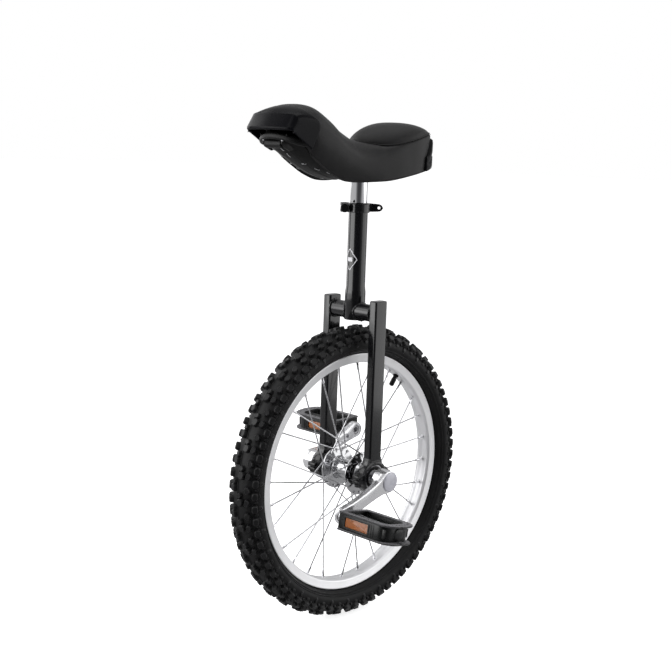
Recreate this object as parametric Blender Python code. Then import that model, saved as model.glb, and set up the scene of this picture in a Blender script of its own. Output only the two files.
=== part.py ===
"""Unicycle with an 18 inch wheel, as an assembly of separate pieces.

Frame: X forward (saddle nose), Y to the rider's left, Z up, origin on the
ground straight under the axle. Lengths are millimetres, turned into metres by
MM, and angles are degrees. Left pieces lie at +Y and right pieces at -Y.
"""
import math
from collections import namedtuple

import bmesh
import bpy
from mathutils import Matrix, Vector

for old in list(bpy.data.objects):
    bpy.data.objects.remove(old, do_unlink=True)

MM = 0.001
SIDES = ((1, "left"), (-1, "right"))
ENDS = ((1, "front"), (-1, "rear"))

# --------------------------------------------------------- shared dimensions
GAP = 0.3                  # clearance kept between neighbouring pieces
TYRE_R = 226.5             # over the tread, also the axle height
AXLE = Vector((0.0, 0.0, TYRE_R))

WHEEL_STEPS = 44
WHEEL_PHASE = 180.0 / WHEEL_STEPS      # half a step, so a facet lies flat on the ground

SPOKES = 28
SPOKE_PITCH = 360.0 / SPOKES
SPOKE_ANGLE_LEFT = 15.75   # first hole of the left flange, from +X towards +Z
FLANGE_Y = 25.0
FLANGE_T = 3.0
FLANGE_HOLE_R = 29.3       # pitch radius of the spoke holes
FLANGE_IN = FLANGE_Y - FLANGE_T / 2
FLANGE_OUT = FLANGE_Y + FLANGE_T / 2

AXLE_R = 8.5
SQUARE = 6.2               # half width of the axle's square ends
SQUARE_CORNER = 1.5
BEARING_Y = 49.0           # bearing 6203: 17 x 40 x 12
BEARING_W = 12.0
BEARING_R = 20.0

SEAT_TUBE_R = 14.3         # 28.6 outside
SWAGE_R = 15.9             # thicker foot of the seat tube
SEAT_TUBE_TOP = 635.0
POST_R = 12.7              # 25.4 outside
POST_TOP = 675.2
ROUND_STEPS = 24           # for the seat tube and what fits round or inside it
ROUND_PHASE = 180.0 / ROUND_STEPS

CRANK_L = 98.0
CRANK_ANGLE = 21.5         # left crank below the horizontal, pointing forward
PEDAL_AXIS_Y = 82.0

# ------------------------------------------------------------------ finishes
Finish = namedtuple("Finish", "name colour roughness metallic")

BLACK_PAINT = Finish("black_paint", colour=(0.012, 0.012, 0.014), roughness=0.22, metallic=0.0)
CHROME = Finish("chrome", colour=(0.78, 0.78, 0.80), roughness=0.12, metallic=1.0)
SILVER = Finish("silver_aluminium", colour=(0.74, 0.74, 0.75), roughness=0.34, metallic=1.0)
STEEL = Finish("steel", colour=(0.58, 0.58, 0.60), roughness=0.32, metallic=1.0)
TYRE_RUBBER = Finish("tyre_rubber", colour=(0.018, 0.018, 0.019), roughness=0.78, metallic=0.0)
BUTYL = Finish("butyl", colour=(0.03, 0.03, 0.03), roughness=0.7, metallic=0.0)
BLACK_PLASTIC = Finish("black_plastic", colour=(0.015, 0.015, 0.016), roughness=0.42,
                       metallic=0.0)
GLOSS_PLASTIC = Finish("gloss_plastic", colour=(0.012, 0.012, 0.013), roughness=0.18,
                       metallic=0.0)
GREY_PLASTIC = Finish("grey_plastic", colour=(0.42, 0.41, 0.43), roughness=0.5, metallic=0.0)
AMBER = Finish("amber_lens", colour=(0.75, 0.24, 0.05), roughness=0.2, metallic=0.0)
VINYL = Finish("vinyl", colour=(0.03, 0.03, 0.033), roughness=0.45, metallic=0.0)
BLACK_STEEL = Finish("black_steel", colour=(0.02, 0.02, 0.022), roughness=0.35, metallic=0.6)
BRASS = Finish("brass", colour=(0.72, 0.52, 0.22), roughness=0.3, metallic=1.0)


def material(piece_name, finish):
    made = bpy.data.materials.new(piece_name + "_" + finish.name)
    made.use_nodes = True
    inputs = made.node_tree.nodes["Principled BSDF"].inputs
    inputs["Base Color"].default_value = (*finish.colour, 1.0)
    inputs["Roughness"].default_value = finish.roughness
    inputs["Metallic"].default_value = finish.metallic
    return made


# ------------------------------------------------------------------ outlines
def polar(radius, angle):
    turn = math.radians(angle)
    return radius * math.cos(turn), radius * math.sin(turn)


def circle(radius, count, phase=0.0, centre=(0.0, 0.0)):
    turns = [math.radians(phase) + 2 * math.pi * i / count for i in range(count)]
    return [(centre[0] + radius * math.cos(turn), centre[1] + radius * math.sin(turn))
            for turn in turns]


def rectangle(x0, x1, y0, y1):
    return [(x0, y0), (x1, y0), (x1, y1), (x0, y1)]


def rounded(half_x, half_y, corner, per_corner=3):
    """Rectangle with rounded corners."""
    points = []
    for quarter, (sign_x, sign_y) in enumerate(((1, 1), (-1, 1), (-1, -1), (1, -1))):
        for i in range(per_corner):
            x, y = polar(corner, 90 * quarter + 90 * i / (per_corner - 1))
            points.append((sign_x * (half_x - corner) + x, sign_y * (half_y - corner) + y))
    return points


def both_sides(half):
    """Closed profile from its +Y half, as (radius, y)."""
    return half + [(radius, -y) for radius, y in reversed(half)]


def on_side(profile, side):
    """Profile (radius, |y|) put on the left or the right."""
    return [(radius, side * y) for radius, y in profile]


def span(side, low, high):
    """Two distances from the middle plane, as rising coordinates on one side."""
    return sorted((side * low, side * high))


def mirrored(points):
    """3D points in reverse order on the other side of Y = 0."""
    return [(x, -y, z) for x, y, z in reversed(points)]


# -------------------------------------------------------------------- shapes
def placed(axis, first, second, along):
    """Vector from two coordinates across an axis and one along it."""
    return Vector({"Z": (first, second, along),
                   "Y": (first, along, second),
                   "X": (along, first, second)}[axis])


def close_up(shape):
    bmesh.ops.remove_doubles(shape, verts=shape.verts, dist=1e-7)
    bmesh.ops.recalc_face_normals(shape, faces=shape.faces)
    return shape


def turned(profile, steps, axis="Y", ring=True, phase=0.0):
    """Solid of revolution. The profile is (radius, distance along the axis): a
    closed loop when ring is true, else a chain with both ends on the axis."""
    shape = bmesh.new()
    direction = placed(axis, 0, 0, 1)
    start = Matrix.Rotation(math.radians(phase), 3, direction)
    points = [shape.verts.new((start @ placed(axis, radius, 0, along)) * MM)
              for radius, along in profile]
    pairs = list(zip(points, points[1:]))
    if ring:
        pairs.append((points[-1], points[0]))
    edges = [shape.edges.new(pair) for pair in pairs]
    bmesh.ops.spin(shape, geom=points + edges, cent=(0, 0, 0), axis=direction,
                   dvec=(0, 0, 0), angle=2 * math.pi, steps=steps,
                   use_merge=True, use_duplicate=False)
    return close_up(shape)


def prism(outline, low, high, axis="Z"):
    """Straight solid from a flat outline, between two heights on an axis."""
    shape = bmesh.new()
    face = shape.faces.new([shape.verts.new(placed(axis, first, second, low) * MM)
                            for first, second in outline])
    grown = bmesh.ops.extrude_face_region(shape, geom=[face])
    far = [item for item in grown["geom"] if isinstance(item, bmesh.types.BMVert)]
    bmesh.ops.translate(shape, verts=far, vec=placed(axis, 0, 0, 1) * (high - low) * MM)
    return close_up(shape)


def loft(rings):
    """Closed solid through rings of the same number of 3D points."""
    shape = bmesh.new()
    rows = [[shape.verts.new(Vector(point) * MM) for point in ring] for ring in rings]
    for row, following in zip(rows, rows[1:]):
        for i in range(len(row)):
            j = (i + 1) % len(row)
            shape.faces.new((row[i], row[j], following[j], following[i]))
    shape.faces.new(list(reversed(rows[0])))
    shape.faces.new(rows[-1])
    return close_up(shape)


def wire(path, radii, sides, phase):
    """Bar through a path of vectors, with one radius for each point."""
    ways = [(end - start).normalized() for start, end in zip(path, path[1:])]
    turns = [math.radians(phase) + 2 * math.pi * k / sides for k in range(sides)]
    rings = []
    across = None
    for i, (point, radius) in enumerate(zip(path, radii)):
        along = sum(ways[max(i - 1, 0):i + 1], Vector()).normalized()
        if across is None:
            across = along.orthogonal()
        across = (across - along * across.dot(along)).normalized()
        other = along.cross(across)
        rings.append([point + (across * math.cos(turn) + other * math.sin(turn)) * radius
                      for turn in turns])
    return loft(rings)


def merged(shapes):
    """Several shapes in one mesh, joined without a boolean."""
    whole = bmesh.new()
    for shape in shapes:
        mesh = bpy.data.meshes.new("part")
        shape.to_mesh(mesh)
        shape.free()
        whole.from_mesh(mesh)
        bpy.data.meshes.remove(mesh)
    return whole


def transformed(shape, matrix):
    bmesh.ops.transform(shape, matrix=matrix, verts=shape.verts)
    bmesh.ops.recalc_face_normals(shape, faces=shape.faces)
    return shape


def rotated(shape, angle, axis):
    return transformed(shape, Matrix.Rotation(math.radians(angle), 4, axis))


# ------------------------------------------------------------------- objects
def linked(name, data):
    made = bpy.data.objects.new(name, data)
    bpy.context.scene.collection.objects.link(made)
    return made


def mesh_object(name, shape):
    mesh = bpy.data.meshes.new(name)
    shape.to_mesh(mesh)
    shape.free()
    return linked(name, mesh)


def empty(name, at):
    made = linked(name, None)
    made.location = Vector(at) * MM
    return made


def piece(name, shape, finish, at=(0, 0, 0), parent=None, turn=None, sharp=35.0):
    """One named piece. Its mesh is local to the point `at`, `turn` is its Euler
    rotation in radians and `sharp` the angle above which edges stay sharp."""
    made = mesh_object(name, shape)
    mesh = made.data
    mesh.materials.append(material(name, finish))
    mesh.shade_smooth()
    mesh.set_sharp_from_angle(angle=math.radians(sharp))
    place = Vector(at) * MM
    if parent is not None:
        made.parent = parent
        place = place - parent.location
    made.location = place
    if turn is not None:
        made.rotation_euler = turn
    return made


def boolean(target, name, shape, operation):
    """Boolean with a hidden helper, given in the target's own coordinates."""
    tool = mesh_object(name, shape)
    tool.hide_render = True
    tool.display_type = "WIRE"
    tool.parent = target.parent
    tool.location = target.location.copy()
    tool.rotation_euler = target.rotation_euler.copy()
    step = target.modifiers.new(name, "BOOLEAN")
    step.operation = operation
    step.solver = "EXACT"
    step.object = tool


def cut(target, name, shape):
    boolean(target, name, shape, "DIFFERENCE")


def join(target, name, shape):
    boolean(target, name, shape, "UNION")


# -------------------------------------------------------------------- joints
def pedal_point(side):
    """Where the pedal's axis crosses the crank."""
    down = math.radians(CRANK_ANGLE)
    return AXLE + Vector((side * CRANK_L * math.cos(down), side * PEDAL_AXIS_Y,
                          -side * CRANK_L * math.sin(down)))


wheel_axis = empty("wheel_axis", AXLE)
pedal_axes = {side: empty(tag + "_pedal_axis", pedal_point(side)) for side, tag in SIDES}
seat_slide = empty("seat_slide", (0, 0, 668.0))

# ------------------------------------------------------- tyre and inner tube
# Half sections as (radius, y).
TYRE_HALF = [
    (TYRE_R / math.cos(math.pi / WHEEL_STEPS), 8.0),   # edge of the flat crown
    (220.0, 19.0), (210.5, 25.8), (199.0, 28.0), (190.0, 20.5), (185.4, 11.5), (177.2, 11.5),
    (177.2, 8.2), (187.5, 9.5), (199.5, 23.2), (214.5, 13.0),
]
TUBE_OUTER_HALF = [(213.6, 9.0), (202.5, 18.4), (193.0, 10.4), (180.5, 5.6)]
TUBE_INNER_HALF = [(212.2, 8.0), (202.5, 16.6), (193.8, 9.2), (182.0, 4.4)]
TUBE_STEPS = WHEEL_STEPS // 2

VALVE_ANGLE = 125.3        # from +X towards +Z
VALVE_TIP_R = 151.0        # inside the cap's closed end, measured from the axle
VALVE_STEM_R = 3.0
VALVE_BORE_R = 1.4
CAP_R = 4.0
CAP_BORE_R = 3.3
CAP_RIM_R = 163.0          # open end of the cap, measured from the axle
# Chain as (radius, distance from the axle).
CAP_PROFILE = [
    (0, VALVE_TIP_R - 0.6), (3.0, VALVE_TIP_R - 0.6), (CAP_R, VALVE_TIP_R + 0.6),
    (CAP_R, CAP_RIM_R), (CAP_BORE_R, CAP_RIM_R), (CAP_BORE_R, VALVE_TIP_R + 0.9),
    (0, VALVE_TIP_R + 0.9),
]


def at_valve(shape):
    """Shape along +X, turned to the valve's place in the wheel."""
    return rotated(shape, -VALVE_ANGLE, "Y")


def build_tyre():
    piece("tyre", turned(both_sides(TYRE_HALF), WHEEL_STEPS, phase=WHEEL_PHASE),
          TYRE_RUBBER, AXLE, wheel_axis)


def build_inner_tube():
    tube = piece("inner_tube",
                 turned(both_sides(TUBE_OUTER_HALF), TUBE_STEPS, phase=WHEEL_PHASE),
                 BUTYL, AXLE, wheel_axis)
    cut(tube, "tube_air", turned(both_sides(TUBE_INNER_HALF), TUBE_STEPS, phase=WHEEL_PHASE))
    join(tube, "valve_stem",
         at_valve(prism(circle(VALVE_STEM_R, 8), VALVE_TIP_R + 1.2, 180.6, "X")))
    cut(tube, "valve_bore",
        at_valve(prism(circle(VALVE_BORE_R, 6), VALVE_TIP_R - 2.0, 184.0, "X")))


def build_valve_cap():
    piece("valve_cap", at_valve(turned(CAP_PROFILE, 10, "X", ring=False)),
          BLACK_PLASTIC, AXLE, wheel_axis)


# ----------------------------------------------------------------------- rim
RIM_R = 184.0              # outer edge of the rim flange
RIM_BED_R = 169.4          # surface of the rim that faces the hub
RIM_HALF_W = 14.0
RIM_HALF = [               # (radius, y)
    (172.8, 6.2), (176.4, 11.9), (RIM_R, RIM_HALF_W - 2.1), (RIM_R, RIM_HALF_W),
    (171.8, RIM_HALF_W - 0.6), (RIM_BED_R, 9.5),
]
RIM_DRILL = (166.0, 180.0)  # reach of the drills, measured from the axle
NIPPLE_HOLE_R = 3.15
VALVE_HOLE_R = 3.5


def hole_angles(side):
    """Angles of one flange's holes, from +X towards +Z."""
    start = SPOKE_ANGLE_LEFT if side > 0 else SPOKE_ANGLE_LEFT - SPOKE_PITCH
    return [start + 2 * SPOKE_PITCH * k for k in range(SPOKES // 2)]


def build_rim():
    rim = piece("rim", turned(both_sides(RIM_HALF), WHEEL_STEPS, phase=WHEEL_PHASE),
                SILVER, AXLE, wheel_axis)
    holes = [rotated(prism(circle(NIPPLE_HOLE_R, 4, 45.0), *RIM_DRILL, "X"), -angle, "Y")
             for side, _ in SIDES for angle in hole_angles(side)]
    holes.append(at_valve(prism(circle(VALVE_HOLE_R, 8), *RIM_DRILL, "X")))
    cut(rim, "rim_holes", merged(holes))


# -------------------------------------------------------------------- spokes
SPOKE_R = 1.0
SPOKE_CROSS = 2            # flange pitches between a spoke's hole and its nipple
SPOKE_HEAD_R = 1.9
SPOKE_HEAD_IN = 0.5        # the head, measured out from the flange's outer face
SPOKE_HEAD_OUT = 2.2
ELBOW_IN = 1.6             # from the flange's inner face to the elbow
NIPPLE_R = 1.9
NIPPLE_START_R = 158.0
SPOKE_BED_R = 171.0        # radius that the spoke is aimed at in the rim
NIPPLE_TIP = 3.6           # length of the nipple beyond that
RADIUS_STEP = 0.01         # length over which the radius jumps


def spoke(side, hole_angle, leading):
    """From the head outside the flange, through the hole, round the elbow and
    out to the nipple in the rim."""
    across = 2 * SPOKE_PITCH * SPOKE_CROSS * (1 if leading else -1)
    hole_x, hole_z = polar(FLANGE_HOLE_R, hole_angle)
    bed_x, bed_z = polar(SPOKE_BED_R, hole_angle + across)
    hole = Vector((hole_x, 0, hole_z))
    bed = Vector((bed_x, 0, bed_z))

    def beyond_flange(distance):
        return hole + Vector((0, side * FLANGE_OUT + side * distance, 0))

    elbow = hole + Vector((0, side * (FLANGE_IN - ELBOW_IN), 0))
    way = bed - elbow
    nipple = elbow + way * (NIPPLE_START_R - FLANGE_HOLE_R) / (SPOKE_BED_R - FLANGE_HOLE_R)
    stations = [
        (beyond_flange(SPOKE_HEAD_OUT), SPOKE_HEAD_R),
        (beyond_flange(SPOKE_HEAD_IN), SPOKE_HEAD_R),
        (beyond_flange(SPOKE_HEAD_IN - RADIUS_STEP), SPOKE_R),
        (elbow, SPOKE_R * 1.05),
        (nipple, SPOKE_R),
        (nipple + way.normalized() * RADIUS_STEP, NIPPLE_R),
        (bed + way.normalized() * NIPPLE_TIP, NIPPLE_R),
    ]
    path, radii = zip(*stations)
    return wire(path, radii, 4, 45.0)


def build_spokes(side, tag):
    """Leading and trailing spokes alternate round the flange."""
    name = "spokes_" + tag
    angles = hole_angles(side)
    leading = [spoke(side, angle, True) for angle in angles[::2]]
    trailing = [spoke(side, angle, False) for angle in angles[1::2]]
    made = piece(name, merged(leading), STEEL, AXLE, wheel_axis)
    join(made, name + "_trailing", merged(trailing))


# -------------------------------------------------------------- hub and axle
FLANGE_R = 33.0
BARREL_R = 15.5
HUB_END = 37.0
HUB_HALF = [               # (radius, y)
    (AXLE_R + GAP, HUB_END), (13.0, HUB_END), (16.5, FLANGE_OUT), (FLANGE_R, FLANGE_OUT),
    (FLANGE_R, FLANGE_IN), (BARREL_R, FLANGE_IN - 1.5),
]
FLANGE_DRILL_R = 1.6
DRILL_EXTRA = 1.5          # reach of the drills beyond the flange's faces

AXLE_ROUND_END = 60.0      # |y| where the round part stops
AXLE_END = 77.0            # |y| where the square ends stop
AXLE_BORE_R = 4.1          # bores for the crank bolts


def build_hub():
    hub = piece("hub_shell", turned(both_sides(HUB_HALF), 22), CHROME, AXLE, wheel_axis)
    drills = []
    for side, _ in SIDES:
        reach = span(side, FLANGE_IN - DRILL_EXTRA, FLANGE_OUT + DRILL_EXTRA)
        for angle in hole_angles(side):
            hole = circle(FLANGE_DRILL_R, 4, 45.0 + angle, polar(FLANGE_HOLE_R, angle))
            drills.append(prism(hole, *reach, "Y"))
    cut(hub, "flange_holes", merged(drills))


def build_axle():
    axle = piece("axle",
                 turned(rectangle(0, AXLE_R, -AXLE_ROUND_END, AXLE_ROUND_END), 24, ring=False),
                 STEEL, AXLE, wheel_axis)
    square = prism(rounded(SQUARE, SQUARE, SQUARE_CORNER, 2), -AXLE_END, AXLE_END, "Y")
    join(axle, "axle_square", rotated(square, CRANK_ANGLE, "Y"))
    cut(axle, "axle_thread", merged([prism(circle(AXLE_BORE_R, 8), *span(side, 54.0, 80.0), "Y")
                                     for side, _ in SIDES]))


# ------------------------------------------------------------------ bearings
HALF_BEARING = BEARING_W / 2
BEARING_STEPS = 16
# Profiles as (radius, distance from the bearing's middle).
INNER_RACE = [
    (AXLE_R + GAP, -HALF_BEARING), (11.9, -HALF_BEARING), (11.9, -2.6), (10.8, 0), (11.9, 2.6),
    (11.9, HALF_BEARING), (AXLE_R + GAP, HALF_BEARING),
]
SHIELD_R = 12.6            # inner radius of the outer race's end walls
SHIELD_Y = HALF_BEARING - 0.9
OUTER_RACE = [
    (BEARING_R, -HALF_BEARING), (BEARING_R, HALF_BEARING), (SHIELD_R, HALF_BEARING),
    (SHIELD_R, SHIELD_Y), (17.0, SHIELD_Y), (18.1, 0), (17.0, -SHIELD_Y),
    (SHIELD_R, -SHIELD_Y), (SHIELD_R, -HALF_BEARING),
]
CAGE = rectangle(13.4, 15.1, -1.2, 1.2)
BALLS = 8
BALL_R = 3.1
BALL_PITCH_R = 14.25
FIRST_BALL_ANGLE = 11.0


def bearing_ball(angle):
    ball = bmesh.new()
    bmesh.ops.create_icosphere(ball, subdivisions=1, radius=BALL_R * MM)
    x, z = polar(BALL_PITCH_R, angle)
    return transformed(ball, Matrix.Translation(Vector((x, 0, z)) * MM))


def build_bearing(side, tag):
    """The outer race stays with the fork, the rest turns with the wheel."""
    middle = AXLE + Vector((0, side * BEARING_Y, 0))
    piece("bearing_inner_race_" + tag, turned(INNER_RACE, BEARING_STEPS), STEEL,
          middle, wheel_axis)
    piece("bearing_outer_race_" + tag, turned(OUTER_RACE, BEARING_STEPS), STEEL, middle)
    cage = piece("bearing_ball_cage_" + tag, turned(CAGE, BEARING_STEPS), BRASS,
                 middle, wheel_axis)
    join(cage, "balls_" + tag, merged([bearing_ball(360.0 / BALLS * k + FIRST_BALL_ANGLE)
                                       for k in range(BALLS)]))


# ---------------------------------------------------------------------- fork
LEG_Y = BEARING_Y
LEG_X = 25.0               # section of the leg along X
LEG_W = 15.0               # section of the leg along Y
LEG_WALL = 1.6
LEG_BOTTOM = TYRE_R + 25.6
LEG_TOP = 494.5
LEG_TOP_WALL = 2.0
CROWN_Z = 474.5
CROWN_R = 12.7

# The bearing holder is split at axle height. Its outlines are (x, z) from the axle.
SPLIT = 0.5                # half the gap between the saddle and the cap
EAR_X = 33.5
HOLDER_BOLT_X = 28.6
HOLDER_HALF_W = 7.2
CAP_ARC_R = 24.3
CAP_ARC_END = (23.2, -6.5)
CAP_ARC_ANGLES = (-25, -40, -58, -74, -90, -106, -122, -140, -155)
SADDLE_REAR = [(-EAR_X, SPLIT), (-EAR_X, 7.0), (-24.0, 8.0), (-20.5, 16.0), (-13.5, 25.2)]
SADDLE_OUTLINE = SADDLE_REAR + [(-x, z) for x, z in reversed(SADDLE_REAR)]
CAP_OUTLINE = [
    (EAR_X, -SPLIT), (EAR_X, -6.5), CAP_ARC_END,
    *[polar(CAP_ARC_R, angle) for angle in CAP_ARC_ANGLES],
    (-CAP_ARC_END[0], CAP_ARC_END[1]), (-EAR_X, -6.5), (-EAR_X, -SPLIT),
]
HOLDER_BOLT = [            # (radius, z from the axle), head at the bottom
    (0, -11.2), (4.6, -11.2), (5.0, -10.6), (5.0, -6.9), (3.0, -6.9), (3.0, 10.5), (2.4, 11.2),
    (0, 11.2),
]


def build_fork_leg(side, tag):
    """Hollow leg, open at the bottom."""
    leg = piece("fork_leg_" + tag,
                prism(rounded(LEG_X / 2, LEG_W / 2, 3.6), LEG_BOTTOM, LEG_TOP),
                BLACK_PAINT, (0, side * LEG_Y, 0))
    cut(leg, "leg_hollow_" + tag,
        prism(rounded(LEG_X / 2 - LEG_WALL, LEG_W / 2 - LEG_WALL, 2.2),
              TYRE_R + 20, LEG_TOP - LEG_TOP_WALL))


def build_bearing_holder(side, tag):
    """Saddle under the leg, with a cap bolted on from below."""
    middle = AXLE + Vector((0, side * LEG_Y, 0))
    arc = [polar(BEARING_R + GAP, angle) for angle in range(0, 181, 15)]
    upper_bore = [(x, max(SPLIT, z)) for x, z in arc]
    lower_bore = [(-x, -z) for x, z in upper_bore]
    for name, outline in (("bearing_saddle_", SADDLE_OUTLINE + upper_bore),
                          ("bearing_cap_", CAP_OUTLINE + lower_bore)):
        half = piece(name + tag, prism(outline, -HOLDER_HALF_W, HOLDER_HALF_W, "Y"),
                     BLACK_PAINT, middle)
        cut(half, name + tag + "_holes",
            merged([prism(circle(3.3, 8, 0, (x, 0)), -20, 20)
                    for x in (-HOLDER_BOLT_X, HOLDER_BOLT_X)]))
    for sign, end in ENDS:
        piece("holder_bolt_%s_%s" % (tag, end), turned(HOLDER_BOLT, 8, "Z", ring=False),
              BLACK_STEEL, middle + Vector((sign * HOLDER_BOLT_X, 0, 0)))


def build_crown_tube(side, tag):
    """Round stub between the leg and the seat tube, coped to the tube."""
    stub = piece("crown_tube_" + tag,
                 prism(circle(CROWN_R, 24), *span(side, 12.0, LEG_Y - LEG_W / 2 - GAP), "Y"),
                 BLACK_PAINT, (0, 0, CROWN_Z))
    cut(stub, "stub_cope_" + tag, turned(rectangle(0, SWAGE_R + GAP, -30, 30),
                                         ROUND_STEPS, "Z", ring=False, phase=ROUND_PHASE))


# ----------------------------------------------------------------- seat tube
SEAT_TUBE_BOTTOM = 461.5
SEAT_TUBE = [              # (radius, z)
    (SWAGE_R, SEAT_TUBE_BOTTOM), (SWAGE_R, 503.0), (SEAT_TUBE_R, 511.0),
    (SEAT_TUBE_R, SEAT_TUBE_TOP), (POST_R + GAP, SEAT_TUBE_TOP),
    (POST_R + GAP, SEAT_TUBE_BOTTOM),
]
EAR_DIR = -44.6            # direction of the slot and clamp ears about Z, from +X


def build_seat_tube():
    """Tube with a slot down from its top, behind the clamp's ears."""
    tube = piece("seat_tube", turned(SEAT_TUBE, ROUND_STEPS, "Z", phase=ROUND_PHASE),
                 BLACK_PAINT)
    cut(tube, "tube_slot",
        rotated(prism(rectangle(8, 22, -1.2, 1.2), 604.0, 640.0), EAR_DIR, "Z"))


# ------------------------------------------------------- quick-release clamp
# The clamp's pieces are turned so that their own X runs out along the ears.
CLAMP_Z0 = 622.5
CLAMP_Z1 = 635.5
CLAMP_R = 16.9
EAR_OUTLINE = [            # (x, y)
    (15.2, -7.2), (25.5, -7.2), (26.5, -6.2), (26.5, 6.2), (25.5, 7.2), (15.2, 7.2),
]
EAR_TURN = math.radians(EAR_DIR)
CLAMP_TURN = (0, 0, EAR_TURN)
ALONG_EARS = Vector((math.cos(EAR_TURN), math.sin(EAR_TURN), 0))
ACROSS_EARS = Vector((-math.sin(EAR_TURN), math.cos(EAR_TURN), 0))
ROD_X = 20.4               # distance of the rod from the tube's axis
ROD_Z = (CLAMP_Z0 + CLAMP_Z1) / 2
ROD_AT = ALONG_EARS * ROD_X + Vector((0, 0, ROD_Z))
PIN_Y = -16.6              # cam pin, along the rod
NUT_Y = 14.2               # nut, along the rod
NUT = [                    # (radius, y), closed at the outer end
    (0, 6.2), (5.8, 6.2), (6.7, 5.0), (6.7, -3.4), (5.6, -4.9), (2.8, -4.9), (2.8, 5.2),
    (0, 5.2),
]
LEVER_HEAD_R = 7.0
BLADE_T = 3.0
BLADE_START = 4.5          # from the pin to the root of the blade
BLADE_REACH = 57.5         # from the pin to the tip of the blade
BLADE_ROOT_Y = -4.2
BLADE_BOW = 3.4            # outward bow at mid length
BLADE_RETURN = 2.0         # shift of the tip towards +Y


def build_clamp_collar():
    collar = piece("seat_clamp_collar",
                   turned(rectangle(SEAT_TUBE_R + GAP, CLAMP_R, CLAMP_Z0, CLAMP_Z1),
                          ROUND_STEPS, "Z", phase=ROUND_PHASE - EAR_DIR),
                   BLACK_PAINT, turn=CLAMP_TURN)
    join(collar, "clamp_ears", prism(EAR_OUTLINE, CLAMP_Z0 + 0.1, CLAMP_Z1 - 0.1))
    cut(collar, "clamp_slot", prism(rectangle(8, 40, -1.3, 1.3), CLAMP_Z0 - 5, CLAMP_Z1 + 5))
    cut(collar, "clamp_bore", prism(circle(2.9, 10, 0, (ROD_X, ROD_Z)), -20, 20, "Y"))


def build_clamp_rod():
    """Rod across the ears, with an upright cam pin at its -Y end."""
    rod = piece("quick_release_rod", prism(circle(2.5, 10), PIN_Y, 17.6, "Y"), STEEL,
                ROD_AT, turn=CLAMP_TURN)
    join(rod, "cam_pin", prism(circle(3.2, 12, 0, (0, PIN_Y)), -6.4, 6.4))


def build_clamp_nut():
    """Round nut on the +Y end of the rod."""
    nut_at = ROD_AT + ACROSS_EARS * NUT_Y
    nut_axis = empty("nut_axis", nut_at)
    piece("quick_release_nut", turned(NUT, 16, ring=False), BLACK_PLASTIC,
          nut_at, nut_axis, turn=CLAMP_TURN)


def blade_outline():
    """Bowed strip of even thickness that runs from the pin towards -X."""
    outer, inner = [], []
    for i in range(9):
        share = i / 8
        x = -BLADE_START - (BLADE_REACH - BLADE_START) * share
        y = BLADE_ROOT_Y - BLADE_BOW * math.sin(math.pi * share) + BLADE_RETURN * share
        outer.append((x, y - BLADE_T / 2))
        inner.append((x, y + BLADE_T / 2))
    return outer + inner[::-1]


def build_clamp_lever():
    """Round head on the cam pin, with a blade that runs back past the collar."""
    lever_at = ROD_AT + ACROSS_EARS * PIN_Y
    lever_pin = empty("lever_pin", lever_at)
    lever = piece("quick_release_lever", prism(circle(LEVER_HEAD_R, 16), -7.0, 7.0),
                  BLACK_PAINT, lever_at, lever_pin, turn=CLAMP_TURN)
    join(lever, "lever_blade", prism(blade_outline(), -6.6, 6.6))
    cut(lever, "lever_slot", prism(rectangle(-3.9, 9.0, -8.0, 9.0), -2.9, 2.9))
    cut(lever, "lever_pin_bore", prism(circle(3.55, 12), -9.0, 9.0))
    cut(lever, "lever_tip_hole",
        prism(circle(2.2, 10, 0, (-BLADE_REACH + 6.5, 0)), -12.0, 12.0, "Y"))


# -------------------------------------------------------------------- cranks
BOSS_R = 17.0
BOSS_ARC_R = 15.5          # end of the arm, inside the boss
EYE_R = 13.0
ARM_WAIST = [(26.0, 10.6), (50.0, 9.6), (74.0, 9.8)]   # (x, half width)
# Profiles as (radius, |y|).
CRANK_BOLT = [(0, 83.8), (6.8, 83.8), (7.6, 83.0), (7.6, 78.3), (3.7, 78.3), (3.7, 58.0),
              (0, 58.0)]
DUST_CAP = [(0, 90.0), (13.4, 89.4), (14.5, 88.2), (14.5, 84.9), (0, 84.9)]
# Cuts in the crank, in order: name, outline, |y| from and to.
CRANK_CUTS = [
    ("square", rounded(SQUARE + GAP, SQUARE + GAP, SQUARE_CORNER, 2), 60.0, 80.0),
    ("counterbore", circle(11.5, 12), 77.8, 95.0),
    ("cap_seat", circle(14.9, 20), 84.6, 96.0),
    ("eye", circle(7.3, 12, 0, (CRANK_L, 0)), 60.0, 100.0),
]


def crank_outline():
    """Arm along +X: boss end, a slight waist, eye end."""
    boss = [polar(BOSS_ARC_R, 70 + 220 * i / 6) for i in range(7)]
    eye = [polar(EYE_R, -110 + 220 * i / 7) for i in range(8)]
    return (boss + [(x, -half) for x, half in ARM_WAIST]
            + [(CRANK_L + x, z) for x, z in eye]
            + ARM_WAIST[::-1])


def build_crank(side, tag):
    angle = CRANK_ANGLE if side > 0 else CRANK_ANGLE + 180.0
    arm = piece("crank_" + tag, prism(crank_outline(), *span(side, 76.6, 87.6), "Y"), CHROME,
                AXLE, wheel_axis, turn=(0, math.radians(angle), 0))
    join(arm, "crank_boss_" + tag, prism(circle(BOSS_R, 20), *span(side, 65.8, 88.0), "Y"))
    for name, outline, low, high in CRANK_CUTS:
        cut(arm, "crank_%s_%s" % (name, tag), prism(outline, *span(side, low, high), "Y"))
    piece("crank_bolt_" + tag, turned(on_side(CRANK_BOLT, side), 12, ring=False), STEEL,
          AXLE, wheel_axis)
    piece("dust_cap_" + tag, turned(on_side(DUST_CAP, side), 20, ring=False), SILVER,
          AXLE, wheel_axis)


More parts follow.
